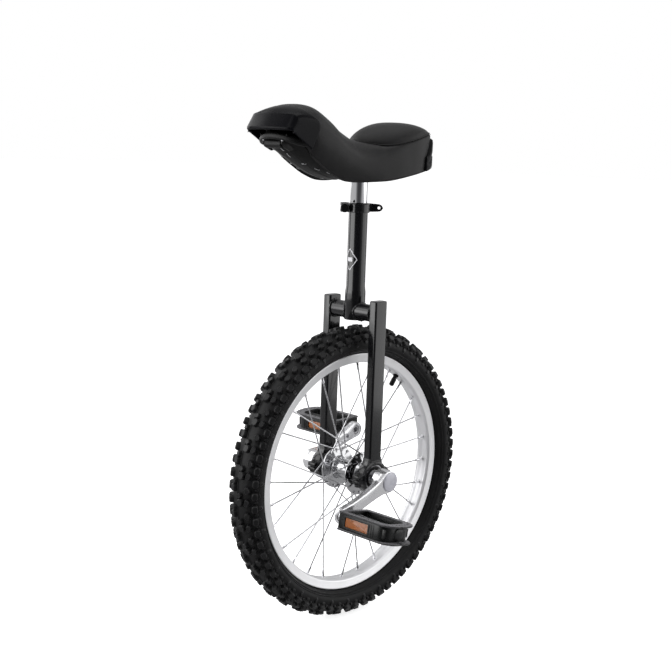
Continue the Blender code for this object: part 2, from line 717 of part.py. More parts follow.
# -------------------------------------------------------------------- pedals
PEDAL_TILT = {1: -9.0, -1: 3.0}        # about +Y, by side
PEDAL_IN = 101.5           # inner end of the pedal body, |y|
PEDAL_OUT = 192.0          # outer end of the pedal body
PLATE_OUT = 202.0          # outer end of the tread plates
PEDAL_HALF_X = 29.0
PEDAL_HALF_Z = 14.0        # over the tread plates
BODY_HALF_Z = PEDAL_HALF_Z - 3.3
PEDAL_CORNERS = (3.0, 20.0)            # corner radii at the inner and outer ends
WINDOW_HALF_X = PEDAL_HALF_X - 8.5
WINDOW_OUT = PEDAL_OUT - 6.5
WINDOW_CORNERS = (2.0, 12.0)
SPINDLE = [                # (radius, |y|)
    (0, 77.6), (6.8, 77.6), (6.8, 87.9), (9.0, 87.9), (9.0, 91.0), (7.0, 91.6), (6.2, 100.0),
    (4.6, 150.0), (4.6, 186.0), (0, 186.0),
]


def pedal_outline(side, half_x, inner, outer, corners):
    """Tight corners at the inner end, large ones at the outer end."""
    corner_in, corner_out = corners
    places = ((1, 1, corner_out), (-1, 1, corner_out), (-1, -1, corner_in), (1, -1, corner_in))
    points = []
    for quarter, (sign_x, sign_y, corner) in enumerate(places):
        edge = outer if sign_y > 0 else inner
        for i in range(4):
            x, y = polar(corner, 90 * quarter + 30 * i)
            points.append((sign_x * (half_x - corner) + x, side * (edge - sign_y * corner + y)))
    return points if side > 0 else points[::-1]


def pedal_window(side, inner):
    return prism(pedal_outline(side, WINDOW_HALF_X, inner, WINDOW_OUT, WINDOW_CORNERS), -20, 20)


def build_spindle(side, tag, base):
    spindle = piece("pedal_spindle_" + tag, turned(on_side(SPINDLE, side), 12, ring=False),
                    STEEL, base, wheel_axis)
    cut(spindle, "spindle_hex_" + tag, prism(circle(3.4, 6), *span(side, 70.0, 83.0), "Y"))


def build_pedal_body(side, tag, **place):
    """Frame with a barrel round the spindle and recesses for the reflectors."""
    outline = pedal_outline(side, PEDAL_HALF_X, PEDAL_IN, PEDAL_OUT, PEDAL_CORNERS)
    body = piece("pedal_body_" + tag, prism(outline, -BODY_HALF_Z, BODY_HALF_Z),
                 BLACK_PLASTIC, **place)
    cut(body, "pedal_window_" + tag, pedal_window(side, PEDAL_IN + 5.0))
    join(body, "pedal_barrel_" + tag,
         prism(circle(9.6, 16), *span(side, PEDAL_IN + 0.5, PEDAL_OUT - 0.5), "Y"))
    cut(body, "pedal_bore_" + tag, prism(circle(7.1, 14), *span(side, 90.0, 187.5), "Y"))
    cut(body, "pedal_recess_" + tag,
        merged([prism(rectangle(sign * 26.2, sign * 32.0, side * 115.0, side * 161.0), -7.4, 7.4)
                for sign, _ in ENDS]))


def build_reflectors(side, tag, **place):
    for sign, end in ENDS:
        outline = rectangle(sign * 26.5, sign * 28.6, side * 115.6, side * 160.4)
        piece("pedal_reflector_%s_%s" % (tag, end), prism(outline, -6.8, 6.8), AMBER, **place)


def build_tread_plates(side, tag, **place):
    outline = pedal_outline(side, PEDAL_HALF_X + 1.0, PEDAL_IN - 0.5, PLATE_OUT, PEDAL_CORNERS)
    for sign, face in ((1, "top"), (-1, "bottom")):
        plate = piece("pedal_plate_%s_%s" % (tag, face),
                      prism(outline, *span(sign, BODY_HALF_Z + GAP, PEDAL_HALF_Z)),
                      GREY_PLASTIC, **place)
        cut(plate, "plate_window_%s_%s" % (tag, face), pedal_window(side, PEDAL_IN + 6.0))


def build_pedal(side, tag):
    base = pedal_point(side)
    base.y = 0.0
    build_spindle(side, tag, base)
    place = {"at": base, "parent": pedal_axes[side],
             "turn": (0, math.radians(PEDAL_TILT[side]), 0)}
    build_pedal_body(side, tag, **place)
    build_reflectors(side, tag, **place)
    build_tread_plates(side, tag, **place)


# ------------------------------------------------------- seat post and studs
POST_BOTTOM = 500.0
POST_WALL = 1.6
PLATE_Z = POST_TOP + GAP
PLATE_T = 3.0
DECK = 5.0                 # thickness of the saddle base's deck
DECK_UNDER = 680.0         # flat underside of the deck over the post plate
STUDS = [                  # x, y, name
    (38.0, 17.0, "front_left"), (38.0, -17.0, "front_right"),
    (-38.0, 17.0, "rear_left"), (-38.0, -17.0, "rear_right"),
]
STUD_TOP = DECK_UNDER + DECK - 0.4
SADDLE_BOLT = [            # (radius, z)
    (0, 669.6), (5.4, 669.6), (5.8, 670.2), (5.8, PLATE_Z - GAP), (3.0, PLATE_Z - GAP),
    (3.0, STUD_TOP), (0, STUD_TOP),
]


def stud_drills(low, high):
    return merged([prism(circle(3.6, 8, 0, (x, y)), low, high) for x, y, _ in STUDS])


def build_seat_post():
    profile = [(POST_R, POST_BOTTOM), (POST_R, POST_TOP),
               (POST_R - POST_WALL, POST_TOP), (POST_R - POST_WALL, POST_BOTTOM)]
    piece("seat_post", turned(profile, ROUND_STEPS, "Z", phase=ROUND_PHASE), CHROME,
          parent=seat_slide)


def build_post_plate():
    plate = piece("post_plate", prism(rounded(52.0, 27.0, 8.0, 4), PLATE_Z, PLATE_Z + PLATE_T),
                  BLACK_STEEL, parent=seat_slide)
    cut(plate, "plate_holes", stud_drills(660, 690))


def build_saddle_bolts():
    for x, y, tag in STUDS:
        piece("saddle_bolt_" + tag, turned(SADDLE_BOLT, 8, "Z", ring=False), STEEL,
              (x, y, 0), seat_slide)


# -------------------------------------------------------------------- saddle
# Stations along X: x, top of the cushion, lower edge, half width.
STATIONS = [
    (-128.0, 731.0, 692.0, 14.2),
    (-120.0, 744.0, 689.0, 29.5),
    (-106.0, 753.0, 686.5, 42.0),
    (-86.0, 757.5, 683.5, 50.4),
    (-64.0, 758.0, 680.5, 53.0),
    (-38.0, 755.0, 676.5, 52.5),
    (-12.0, 747.0, 673.0, 50.0),
    (12.0, 735.5, 671.0, 47.5),
    (33.0, 729.5, 670.0, 46.0),
    (52.0, 738.5, 670.6, 45.5),
    (72.0, 750.5, 672.6, 46.0),
    (95.0, 766.5, 677.0, 47.0),
    (116.0, 774.5, 685.0, 48.0),
    (133.0, 776.0, 692.5, 48.0),
    (154.0, 772.0, 702.5, 46.0),
    (177.0, 761.0, 715.0, 42.0),
]
CUSHION_STATIONS = STATIONS[:14]
BASE_END_X = 170.0         # front end of the base
BASE_INSET = 5.0           # base inside the cushion's half width
TAPER_X = 133.0            # the base narrows further in front of this
TAPER = 0.35
BASE_WALL = 4.0
DECK_RISE = 4.0            # deck above the lower edge
CUSHION_GAP = 0.6          # cushion above the deck


def between(start, end, x):
    """Station at x, straight between two others."""
    share = (x - start[0]) / (end[0] - start[0])
    return (x, *[p + (q - p) * share for p, q in zip(start[1:], end[1:])])


def deck_bottom(x, low):
    """Underside of the deck, kept clear of the post plate."""
    if -64 <= x <= 52:
        return max(low + DECK_RISE, DECK_UNDER)
    return low + DECK_RISE


def base_ring(x, low, half):
    """Section of the base: a deck with a wall down each side."""
    half -= BASE_INSET + max(0.0, (x - TAPER_X) * TAPER)
    inner = half - BASE_WALL
    under = deck_bottom(x, low)
    upper = under + DECK
    return [(x, half, low), (x, half, upper), (x, -half, upper), (x, -half, low),
            (x, -inner, low), (x, -inner, under), (x, inner, under), (x, inner, low)]


def build_seat_base():
    stations = STATIONS[1:-1] + [between(STATIONS[-2], STATIONS[-1], BASE_END_X)]
    base = piece("seat_base", loft([base_ring(x, low, half) for x, _, low, half in stations]),
                 BLACK_PLASTIC, parent=seat_slide)
    cut(base, "stud_holes", stud_drills(670, 700))


def cushion_ring(x, top, low, half):
    """Section across the cushion: flat underside, upright skirt, domed top."""
    bottom = deck_bottom(x, low) + DECK + CUSHION_GAP
    shoulder = bottom + 0.55 * (top - bottom)
    points = [(x, half * 0.96, bottom), (x, half, bottom + 0.25 * (top - bottom)),
              (x, half * 0.99, shoulder)]
    for i in range(1, 6):
        turn = math.pi * i / 12
        points.append((x, half * 0.99 * math.cos(turn) ** 0.8,
                       shoulder + (top - shoulder) * math.sin(turn) ** 0.9))
    return points + [(x, 0.0, top)] + mirrored(points)


def build_cushion():
    piece("seat_cushion", loft([cushion_ring(*station) for station in CUSHION_STATIONS]),
          VINYL, parent=seat_slide, sharp=50)


# -------------------------------------------------------------- front bumper
NOSE_X = 134.0             # back edge of the bumper
NOSE_L = 54.0              # length over which the section tapers
NOSE_BREAK = 0.3           # share of that length where the top starts to drop
NOSE_WALL = 3.6
NOSE_OUTER_X = (NOSE_X, 150.0, 165.0, 176.0, 184.0)
NOSE_HOLLOW_X = (126.0, NOSE_X, 150.0, 165.0, 176.0, 181.0)
HOLLOW_DROP = 16.0         # lowers the hollow's foot through the open underside
# The front face is the last outer ring, moved forward and shrunk.
FACE_FORWARD = 3.0
FACE_WIDTH = 0.9
FACE_HEIGHT = 0.86         # shrunk in height towards FACE_Z
FACE_Z = 748


def nose_ring(x, grow):
    """Section of the nose: flat-topped, with chamfered shoulders."""
    share = (x - NOSE_X) / NOSE_L
    if share < NOSE_BREAK:
        top = 776.5 - 3.5 * share
    else:
        top = 775.5 - 16.5 * (share - NOSE_BREAK) / (1 - NOSE_BREAK)
    top += grow
    half = 48.5 - 3.0 * share + grow
    low = 724.0 + 14.0 * share
    points = [(x, half, low), (x, half + 0.5, low + 12.0), (x, half - 3.0, top - 10.0),
              (x, half - 14.0, top)]
    return points + mirrored(points)


def build_front_bumper():
    """Faceted shell over the nose, open at the back and below."""
    outer = [nose_ring(x, 0.0) for x in NOSE_OUTER_X]
    outer.append([(x + FACE_FORWARD, y * FACE_WIDTH, z * FACE_HEIGHT + FACE_Z * (1 - FACE_HEIGHT))
                  for x, y, z in outer[-1]])
    bumper = piece("front_bumper", loft(outer), GLOSS_PLASTIC, parent=seat_slide, sharp=20)
    hollow = []
    for station in NOSE_HOLLOW_X:
        ring = nose_ring(station, -NOSE_WALL)
        for foot in (0, -1):
            x, y, z = ring[foot]
            ring[foot] = (x, y, z - HOLLOW_DROP)
        hollow.append(ring)
    cut(bumper, "bumper_hollow", loft(hollow))


# ------------------------------------------------- rear bumper and grab handle
TAIL = 2.1                 # power of the superellipse that the tail follows
TAIL_LOW = 688.0
TAIL_NEAR = 1.2            # inner and outer faces, outside the cushion
TAIL_FAR = 4.2
HANDLE_X = 150.0           # centre of the handle's half ellipse
HANDLE_REACH = 38.0
HANDLE_HALF_W = 47.0
HANDLE_Z = 722.0
HANDLE_SAG = 3.5           # drop at the front
BAR_HALF_T = 3.4           # section of the bar, across
BAR_HALF_H = 4.6           # section of the bar, upright


def tail_point(angle, off, z):
    """Point at height z on the tail's outline, `off` outside the cushion."""
    turn = math.radians(angle)
    back = abs(math.cos(turn)) ** (2 / TAIL)
    out = abs(math.sin(turn)) ** (2 / TAIL)
    return (-64.0 - (66.0 + off) * back, math.copysign((53.0 + off) * out, turn), z)


def build_rear_bumper():
    """Curved bar round the tail."""
    rings = []
    for i in range(9):
        angle = -40 + 10 * i
        high = 736.0 - 4.0 * abs(math.sin(math.radians(angle)))
        rings.append([tail_point(angle, TAIL_NEAR, TAIL_LOW),
                      tail_point(angle, TAIL_FAR, TAIL_LOW + 4.0),
                      tail_point(angle, TAIL_FAR, high - 5.0),
                      tail_point(angle, TAIL_NEAR, high)])
    piece("rear_bumper", loft(rings), GLOSS_PLASTIC, parent=seat_slide)


def build_grab_handle():
    """Bowed bar of oval section under the nose, its ends beside the base."""
    rings = []
    for i in range(13):
        forward, left = polar(1.0, -90 + 15 * i)
        point = Vector((HANDLE_X + HANDLE_REACH * forward, HANDLE_HALF_W * left,
                        HANDLE_Z - HANDLE_SAG * forward ** 2))
        out = Vector((forward, left, 0))
        rings.append([point + out * across + Vector((0, 0, up))
                      for across, up in [(BAR_HALF_T * x, BAR_HALF_H * z)
                                         for x, z in circle(1.0, 8)]])
    piece("grab_handle", loft(rings), BLACK_PLASTIC, parent=seat_slide)


# ------------------------------------------------------------------ assembly
def build_wheel():
    build_tyre()
    build_inner_tube()
    build_valve_cap()
    build_rim()
    build_hub()
    build_axle()


def build_seat():
    build_seat_post()
    build_post_plate()
    build_seat_base()
    build_saddle_bolts()
    build_cushion()
    build_front_bumper()
    build_rear_bumper()
    build_grab_handle()


build_wheel()
for build in (build_spokes, build_bearing, build_fork_leg, build_bearing_holder,
              build_crown_tube, build_crank, build_pedal):
    for side, tag in SIDES:
        build(side, tag)
build_seat_tube()
build_clamp_collar()
build_clamp_rod()
build_clamp_nut()
build_clamp_lever()
build_seat()
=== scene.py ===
"""A unicycle standing upright on z = 0, with the wheel's axis along Y at HUB_Z.

+X is the front (the saddle's nose), +Y the left side, +Z up. Shapes are given in
millimetres and become metres as their vertices are made. Materials, lights and the
camera are in metres.
"""
import math

import bmesh
import bpy
import numpy as np
from mathutils import Matrix, Vector


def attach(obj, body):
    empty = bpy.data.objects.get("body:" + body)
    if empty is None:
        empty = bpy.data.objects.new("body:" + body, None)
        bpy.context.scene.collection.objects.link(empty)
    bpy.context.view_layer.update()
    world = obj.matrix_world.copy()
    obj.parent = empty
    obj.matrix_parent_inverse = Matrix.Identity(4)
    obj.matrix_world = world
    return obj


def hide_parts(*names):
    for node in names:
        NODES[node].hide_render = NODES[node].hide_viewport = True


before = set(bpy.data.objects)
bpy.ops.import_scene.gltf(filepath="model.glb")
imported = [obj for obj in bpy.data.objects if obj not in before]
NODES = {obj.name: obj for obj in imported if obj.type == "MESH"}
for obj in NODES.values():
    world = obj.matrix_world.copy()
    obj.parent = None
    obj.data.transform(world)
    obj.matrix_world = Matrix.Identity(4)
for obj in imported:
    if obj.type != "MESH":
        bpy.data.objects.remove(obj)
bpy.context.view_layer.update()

MM = 0.001
SCENE = bpy.context.scene

# ------------------------------------------------------------ driving numbers
HUB_Z = 226.5
HUB = Vector((0.0, 0.0, HUB_Z))
SPOKES = 28
SPOKE_PITCH = 360.0 / SPOKES
SPOKE_START = 15.75  # angle of the first hole in the left flange
VALVE_ANGLE = 125.3
LEG_Y = 49.0
CRANK_L = 98.0
CRANK_ANGLE = 21.5  # the left crank points forward and this far down
PEDAL_TILT = {"left": -9.0, "right": 3.0}
CLAMP_ANGLE = -44.6  # direction of the seat clamp's ears, about Z
SIDES = ((1, "left"), (-1, "right"))
ENDS = ((1, "front"), (-1, "rear"))


# ------------------------------------------------------------------ materials
def grey(level, blue=None):
    return (level, level, level if blue is None else blue)


class Look:
    """A Principled material with procedural detail; its lengths are in metres."""

    def __init__(self, name, colour, rough, metal=0.0, bevel=None):
        self.material = bpy.data.materials.new(name)
        self.material.use_nodes = True
        self.tree = self.material.node_tree
        self.tree.nodes.clear()
        output = self.node("ShaderNodeOutputMaterial")
        self.shader = self.node("ShaderNodeBsdfPrincipled")
        self.feed(output.inputs[0], self.shader.outputs[0])
        self.coord = self.node("ShaderNodeTexCoord").outputs["Object"]
        self.colour = self.node("ShaderNodeRGB").outputs[0]
        self.colour.default_value = (*colour, 1.0)
        self.rough = self.node("ShaderNodeValue").outputs[0]
        self.rough.default_value = rough
        self.set({"Metallic": metal})
        self.normal = self.bevel(bevel) if bevel else None

    def node(self, kind, **settings):
        made = self.tree.nodes.new(kind)
        for key, value in settings.items():
            setattr(made, key, value)
        return made

    def feed(self, socket, value):
        """Links an output to the socket, or stores a plain value in it."""
        if hasattr(value, "is_output"):
            self.tree.links.new(value, socket)
        else:
            socket.default_value = value

    def set(self, inputs):
        for name, value in inputs.items():
            self.feed(self.shader.inputs[name], value)

    def calc(self, operation, first, second=0.0):
        made = self.node("ShaderNodeMath", operation=operation)
        for socket, value in zip(made.inputs, (first, second, 0.0)):
            self.feed(socket, value)
        return made.outputs[0]

    def ramp(self, value, start, end):
        """0 to 1 as value goes from start to end."""
        made = self.node("ShaderNodeMapRange", clamp=True)
        self.feed(made.inputs[0], value)
        made.inputs[1].default_value = start
        made.inputs[2].default_value = end
        return made.outputs[0]

    def split(self, vector):
        made = self.node("ShaderNodeSeparateXYZ")
        self.feed(made.inputs[0], vector)
        return made.outputs

    def stretch(self, scale):
        made = self.node("ShaderNodeMapping")
        self.feed(made.inputs["Vector"], self.coord)
        made.inputs["Scale"].default_value = scale
        return made.outputs[0]

    def noise(self, scale, detail=4.0, rough=0.55, vector=None):
        made = self.node("ShaderNodeTexNoise")
        self.feed(made.inputs["Vector"], vector or self.coord)
        made.inputs["Scale"].default_value = scale
        made.inputs["Detail"].default_value = detail
        made.inputs["Roughness"].default_value = rough
        return made.outputs["Fac"]

    def cells(self, scale, feature="F1", vector=None):
        made = self.node("ShaderNodeTexVoronoi", feature=feature)
        self.feed(made.inputs["Vector"], vector or self.coord)
        made.inputs["Scale"].default_value = scale
        return made.outputs["Distance"]

    def bevel(self, radius):
        made = self.node("ShaderNodeBevel")
        made.samples = 4
        made.inputs["Radius"].default_value = radius
        return made.outputs[0]

    def wheel_coords(self):
        """Distance from the wheel's axis, and y."""
        x, y, z = self.split(self.coord)
        z = self.calc("SUBTRACT", z, HUB_Z * MM)
        squares = self.calc("ADD", self.calc("MULTIPLY", x, x), self.calc("MULTIPLY", z, z))
        return self.calc("SQRT", squares), y

    def tint(self, mask, colour, amount):
        made = self.node("ShaderNodeMix", data_type="RGBA")
        self.feed(made.inputs[0], self.calc("MULTIPLY", mask, amount))
        self.feed(made.inputs[6], self.colour)
        made.inputs[7].default_value = (*colour, 1.0)
        self.colour = made.outputs[2]

    def mottle(self, colour, amount, start, end, **noise):
        """Tints the places where a noise climbs from start to end."""
        self.tint(self.ramp(self.noise(**noise), start, end), colour, amount)

    def add_rough(self, value, swing):
        """Roughness moves by swing as value goes from 0 to 1, centred on 0.5."""
        step = self.calc("MULTIPLY", self.calc("SUBTRACT", value, 0.5), swing)
        self.rough = self.calc("ADD", self.rough, step)

    def vary_rough(self, swing, **noise):
        self.add_rough(self.noise(**noise), swing)

    def bump(self, height, depth, strength):
        made = self.node("ShaderNodeBump")
        made.inputs["Strength"].default_value = strength
        made.inputs["Distance"].default_value = depth
        self.feed(made.inputs["Height"], height)
        if self.normal is not None:
            self.feed(made.inputs["Normal"], self.normal)
        self.normal = made.outputs[0]

    def relief(self, depth, strength, **noise):
        self.bump(self.noise(**noise), depth, strength)

    def wear(self, radius, colour, amount, scale, rough=None):
        """Pale edges: tinted where a wide bevel's normal leaves the surface's; worn edges on most
        materials, a painted highlight along the tread's knob edges.
        """
        dot = self.node("ShaderNodeVectorMath", operation="DOT_PRODUCT")
        self.feed(dot.inputs[0], self.bevel(radius))
        self.feed(dot.inputs[1], self.node("ShaderNodeNewGeometry").outputs["Normal"])
        edge = self.ramp(dot.outputs["Value"], start=0.985, end=0.80)
        chips = self.ramp(self.noise(scale, detail=5.0, rough=0.7), start=0.42, end=0.62)
        mask = self.calc("MULTIPLY", edge, chips)
        self.tint(mask, colour, amount)
        if rough is not None:
            self.rough = self.calc("ADD", self.rough, self.calc("MULTIPLY", mask, rough))

    def finish(self):
        clamp = self.node("ShaderNodeClamp")
        self.feed(clamp.inputs[0], self.rough)
        clamp.inputs[1].default_value = 0.03
        clamp.inputs[2].default_value = 1.0
        self.set({"Base Color": self.colour, "Roughness": clamp.outputs[0]})
        if self.normal is not None:
            self.set({"Normal": self.normal})
        return self.material


def rubber(name, level, rough, grain=1.0, gloss=0.28, edge_highlight=False):
    look = Look(name, grey(level, level * 1.05), rough)
    look.mottle(grey(level * 2.1, level * 2.2), amount=0.7, start=0.40, end=0.75,
                scale=38.0, detail=6.0, rough=0.65)
    look.mottle(grey(level * 3.2), amount=0.35, start=0.62, end=0.75, scale=900.0, detail=2.0)
    look.vary_rough(swing=0.24, scale=70.0, detail=5.0, rough=0.7)
    look.relief(depth=0.00009 * grain, strength=0.7, scale=1500.0, detail=3.0, rough=0.6)
    look.relief(depth=0.00025 * grain, strength=0.4, scale=140.0, detail=3.0)
    look.set({"Specular IOR Level": gloss})
    if edge_highlight:
        # painted highlight: the tread's knob edges are lightened in noisy patches where light
        # would catch them
        look.wear(radius=0.0011, colour=grey(0.085, 0.09), amount=0.75, scale=420.0, rough=0.05)
    return look.finish()


def black_paint():
    look = Look("paint_black", grey(0.0045, 0.0052), rough=0.15, bevel=0.0007)
    look.mottle(grey(0.0075, 0.0085), amount=0.7, start=0.35, end=0.7, scale=9.0, detail=3.0)
    look.wear(radius=0.0010, colour=grey(0.05, 0.053), amount=0.45, scale=300.0, rough=0.12)
    look.mottle(grey(0.10), amount=0.5, start=0.80, end=0.86, scale=2600.0, detail=1.0)
    look.vary_rough(swing=0.13, scale=26.0, detail=4.0, rough=0.6)
    look.relief(depth=0.00004, strength=0.5, scale=420.0, detail=2.0, rough=0.4)
    look.set({"Coat Weight": 0.25, "Coat Roughness": 0.05, "Specular IOR Level": 0.42})
    return look.finish()


def chrome(name, level=0.90, rough=0.035, lines=(900.0, 900.0, 40.0), metal=1.0):
    look = Look(name, grey(level, level * 1.02), rough, metal, bevel=0.0003)
    look.mottle((level * 0.86, level * 0.87, level * 0.90), amount=0.5, start=0.45, end=0.8,
                scale=22.0, detail=5.0, rough=0.65)
    look.vary_rough(swing=0.035, scale=55.0, detail=6.0, rough=0.7)
    look.wear(radius=0.0008, colour=grey(0.97, 0.98), amount=0.4, scale=200.0, rough=0.05)
    look.relief(depth=0.000003, strength=0.4, scale=1.0, rough=0.6, vector=look.stretch(lines))
    return look.finish()


def steel(name, level, rough, lines, metal=1.0):
    look = Look(name, grey(level, level * 1.03), rough, metal, bevel=0.0004)
    look.mottle(grey(level * 0.7), amount=0.5, start=0.45, end=0.7, scale=60.0, detail=5.0)
    look.vary_rough(swing=0.2, scale=120.0, detail=5.0, rough=0.7)
    look.relief(depth=0.00004, strength=0.5, scale=1.0, rough=0.6, vector=look.stretch(lines))
    return look.finish()


def rim_alloy():
    look = Look("rim_alloy", grey(0.90, 0.91), rough=0.36, metal=0.55, bevel=0.0003)
    radius, y = look.wheel_coords()
    # turned lines run round the wheel: the pattern follows radius and y
    line_scale = 2600.0
    pack = look.node("ShaderNodeCombineXYZ")
    look.feed(pack.inputs[0], look.calc("MULTIPLY", radius, line_scale))
    look.feed(pack.inputs[1], look.calc("MULTIPLY", y, line_scale))
    look.feed(pack.inputs[2], look.noise(scale=3.0, detail=2.0))
    look.relief(depth=0.00006, strength=0.6, scale=1.0, detail=3.0, rough=0.7,
                vector=pack.outputs[0])
    flank = look.ramp(look.calc("ABSOLUTE", y), start=0.0125, end=0.0131)
    look.tint(look.calc("SUBTRACT", 1.0, flank), grey(0.80, 0.82), amount=0.75)
    look.mottle(grey(0.78, 0.80), amount=0.4, start=0.48, end=0.75,
                scale=14.0, detail=5.0, rough=0.6)
    look.mottle(grey(0.58, 0.60), amount=0.2, start=0.66, end=0.74, scale=700.0, detail=3.0)
    look.vary_rough(swing=0.18, scale=30.0, detail=5.0, rough=0.7)
    return look.finish()


def plastic(name, level, rough, grain, scale, wear, tone=(1.0, 1.0, 1.04), gloss=0.34):
    base = tuple(level * part for part in tone)
    look = Look(name, base, rough, bevel=0.0006)
    look.mottle(tuple(part * 1.6 for part in base), amount=0.6, start=0.42, end=0.72,
                scale=24.0, detail=5.0)
    look.wear(radius=0.0012, colour=tuple(min(1.0, part * 3.0 + 0.05) for part in base),
              amount=wear, scale=240.0, rough=0.1)
    look.vary_rough(swing=0.16, scale=60.0, detail=5.0, rough=0.7)
    look.bump(look.cells(scale), depth=grain, strength=0.7)
    look.set({"Specular IOR Level": gloss})
    return look.finish()


def bumper_gloss():
    look = Look("bumper_gloss", grey(0.0028, 0.0036), rough=0.22, bevel=0.0008)
    look.mottle(grey(0.0050, 0.0065), amount=0.7, start=0.4, end=0.7, scale=12.0, detail=3.0)
    look.wear(radius=0.0014, colour=grey(0.09, 0.095), amount=0.4, scale=320.0, rough=0.2)
    look.vary_rough(swing=0.12, scale=34.0, detail=5.0, rough=0.65)
    look.relief(depth=0.00003, strength=0.5, scale=1.0, detail=5.0, rough=0.7,
                vector=look.stretch((240.0, 60.0, 520.0)))
    look.bump(look.cells(scale=1900.0), depth=0.00001, strength=0.5)
    look.set({"Coat Weight": 0.02, "Coat Roughness": 0.08, "Specular IOR Level": 0.06})
    return look.finish()


def pedal_grip():
    """Grey cast surface with a coarse grain, dark on its flanks."""
    look = Look("pedal_grip_grey", (0.21, 0.205, 0.215), rough=0.46, metal=0.2)
    look.tint(look.ramp(look.cells(scale=620.0), start=0.30, end=0.62), grey(0.07, 0.075),
              amount=0.75)
    look.mottle((0.46, 0.45, 0.48), amount=0.8, start=0.60, end=0.72, scale=1700.0, detail=2.0)
    look.mottle(grey(0.22, 0.235), amount=0.5, start=0.45, end=0.7, scale=30.0)
    normal = look.split(look.node("ShaderNodeTexCoord").outputs["Normal"])
    facing_up = look.ramp(look.calc("ABSOLUTE", normal[2]), start=0.45, end=0.80)
    look.tint(look.calc("SUBTRACT", 1.0, facing_up), grey(0.020, 0.022), amount=0.88)
    look.vary_rough(swing=0.35, scale=400.0)
    look.bump(look.cells(scale=620.0), depth=0.0005, strength=0.8)
    look.relief(depth=0.0001, strength=0.7, scale=2200.0, detail=3.0)
    return look.finish()


def amber():
    look = Look("reflector_amber", (0.30, 0.092, 0.020), rough=0.16)
    place_xyz = look.split(look.coord)
    waves = [look.calc("SINE", look.calc("MULTIPLY", place_xyz[i], 2600.0)) for i in (1, 2)]
    prism = look.calc("MULTIPLY", *waves)
    look.tint(look.ramp(prism, start=0.2, end=0.9), (0.50, 0.17, 0.038), amount=0.6)
    look.mottle((0.15, 0.042, 0.010), amount=0.6, start=0.45, end=0.7, scale=90.0)
    look.vary_rough(swing=0.12, scale=150.0)
    look.bump(prism, depth=0.0004, strength=0.6)
    look.set({"Coat Weight": 0.8, "Coat Roughness": 0.05, "Subsurface Weight": 0.25,
              "Subsurface Radius": (0.004, 0.002, 0.0006), "Subsurface Scale": 1.0})
    return look.finish()


def vinyl(name, level):
    look = Look(name, (level * 1.06, level, level * 1.02), rough=0.42)
    creases = look.cells(760.0, "DISTANCE_TO_EDGE", vector=look.stretch((1.0, 1.0, 1.0)))
    pores = look.ramp(creases, start=0.0, end=0.22)
    look.mottle(grey(level * 1.7, level * 1.85), amount=0.75, start=0.38, end=0.72,
                scale=11.0, rough=0.6)
    look.tint(look.calc("SUBTRACT", 1.0, pores), grey(level * 0.45), amount=0.5)
    look.vary_rough(swing=0.13, scale=42.0, detail=5.0, rough=0.65)
    look.add_rough(pores, swing=-0.06)
    look.relief(depth=0.00035, strength=0.25, scale=60.0, detail=3.0)
    look.bump(pores, depth=0.00010, strength=0.55)
    look.relief(depth=0.00003, strength=0.5, scale=2400.0, detail=2.0)
    look.set({"Specular IOR Level": 0.20, "Sheen Weight": 0.03, "Sheen Roughness": 0.4})
    return look.finish()


def dust_cap_grey():
    """Pale lavender grey with fine turned rings."""
    look = Look("dust_cap_grey", grey(0.54, 0.59), rough=0.33, metal=0.35, bevel=0.0005)
    radius = look.wheel_coords()[0]
    rings = look.calc("SINE", look.calc("MULTIPLY", radius, 7500.0))
    look.bump(rings, depth=0.00003, strength=0.6)
    look.mottle(grey(0.40, 0.46), amount=0.6, start=0.45, end=0.7, scale=160.0)
    look.wear(radius=0.0010, colour=grey(0.75, 0.80), amount=0.6, scale=300.0)
    look.vary_rough(swing=0.18, scale=200.0)
    return look.finish()


def brass():
    look = Look("cage_brass", (0.70, 0.48, 0.20), rough=0.28, metal=1.0)
    look.mottle((0.40, 0.25, 0.10), amount=0.6, start=0.45, end=0.7, scale=240.0, detail=5.0)
    look.vary_rough(swing=0.2, scale=300.0)
    look.relief(depth=0.00003, strength=0.5, scale=1800.0, detail=3.0)
    return look.finish()


def pale_floor():
    look = Look("floor_pale", grey(0.90, 0.905), rough=0.55)
    look.mottle(grey(0.88, 0.885), amount=0.6, start=0.4, end=0.7, scale=2.2)
    look.vary_rough(swing=0.1, scale=5.0)
    look.relief(depth=0.0001, strength=0.2, scale=260.0, detail=3.0)
    seen = look.node("ShaderNodeLightPath").outputs["Is Camera Ray"]
    look.set({"Emission Color": (1.0, 1.0, 1.0, 1.0),
              "Emission Strength": look.calc("MULTIPLY", seen, 0.80)})
    return look.finish()


TYRE = rubber("tyre_rubber", level=0.0060, rough=0.54, gloss=0.20)
# the tread's knob edges carry a painted highlight
TREAD = rubber("tread_rubber", level=0.0065, rough=0.40, grain=1.2, gloss=0.27, edge_highlight=True)
BUTYL = rubber("butyl_rubber", level=0.016, rough=0.5)
PAINT = black_paint()
CHROME = chrome("plated_chrome")
CRANK_METAL = chrome("crank_polished", level=0.88, rough=0.15, lines=(700.0, 700.0, 700.0),
                     metal=0.86)
HUB_METAL = chrome("hub_polished_steel", level=0.56, rough=0.10, lines=(900.0, 60.0, 900.0))
ALLOY = rim_alloy()
SPOKE_STEEL = steel("spoke_steel", level=0.60, rough=0.26, lines=(260.0, 260.0, 260.0),
                    metal=0.85)
STEEL = steel("turned_steel", level=0.56, rough=0.27, lines=(900.0, 60.0, 900.0))
ZINC = steel("zinc_steel", level=0.60, rough=0.30, lines=(500.0, 500.0, 500.0))
DARK_STEEL = plastic("black_bolt", level=0.018, rough=0.30, grain=0.00002, scale=2600.0, wear=0.9)
BLACK = plastic("moulded_black", level=0.0038, rough=0.42, grain=0.00006, scale=2300.0,
                wear=0.25, gloss=0.18)
PEDAL_BLACK = plastic("pedal_black", level=0.0060, rough=0.28, grain=0.00005, scale=1900.0,
                      wear=0.5, tone=(0.95, 1.05, 1.02), gloss=0.40)
GLOSS = bumper_gloss()
GRIP = pedal_grip()
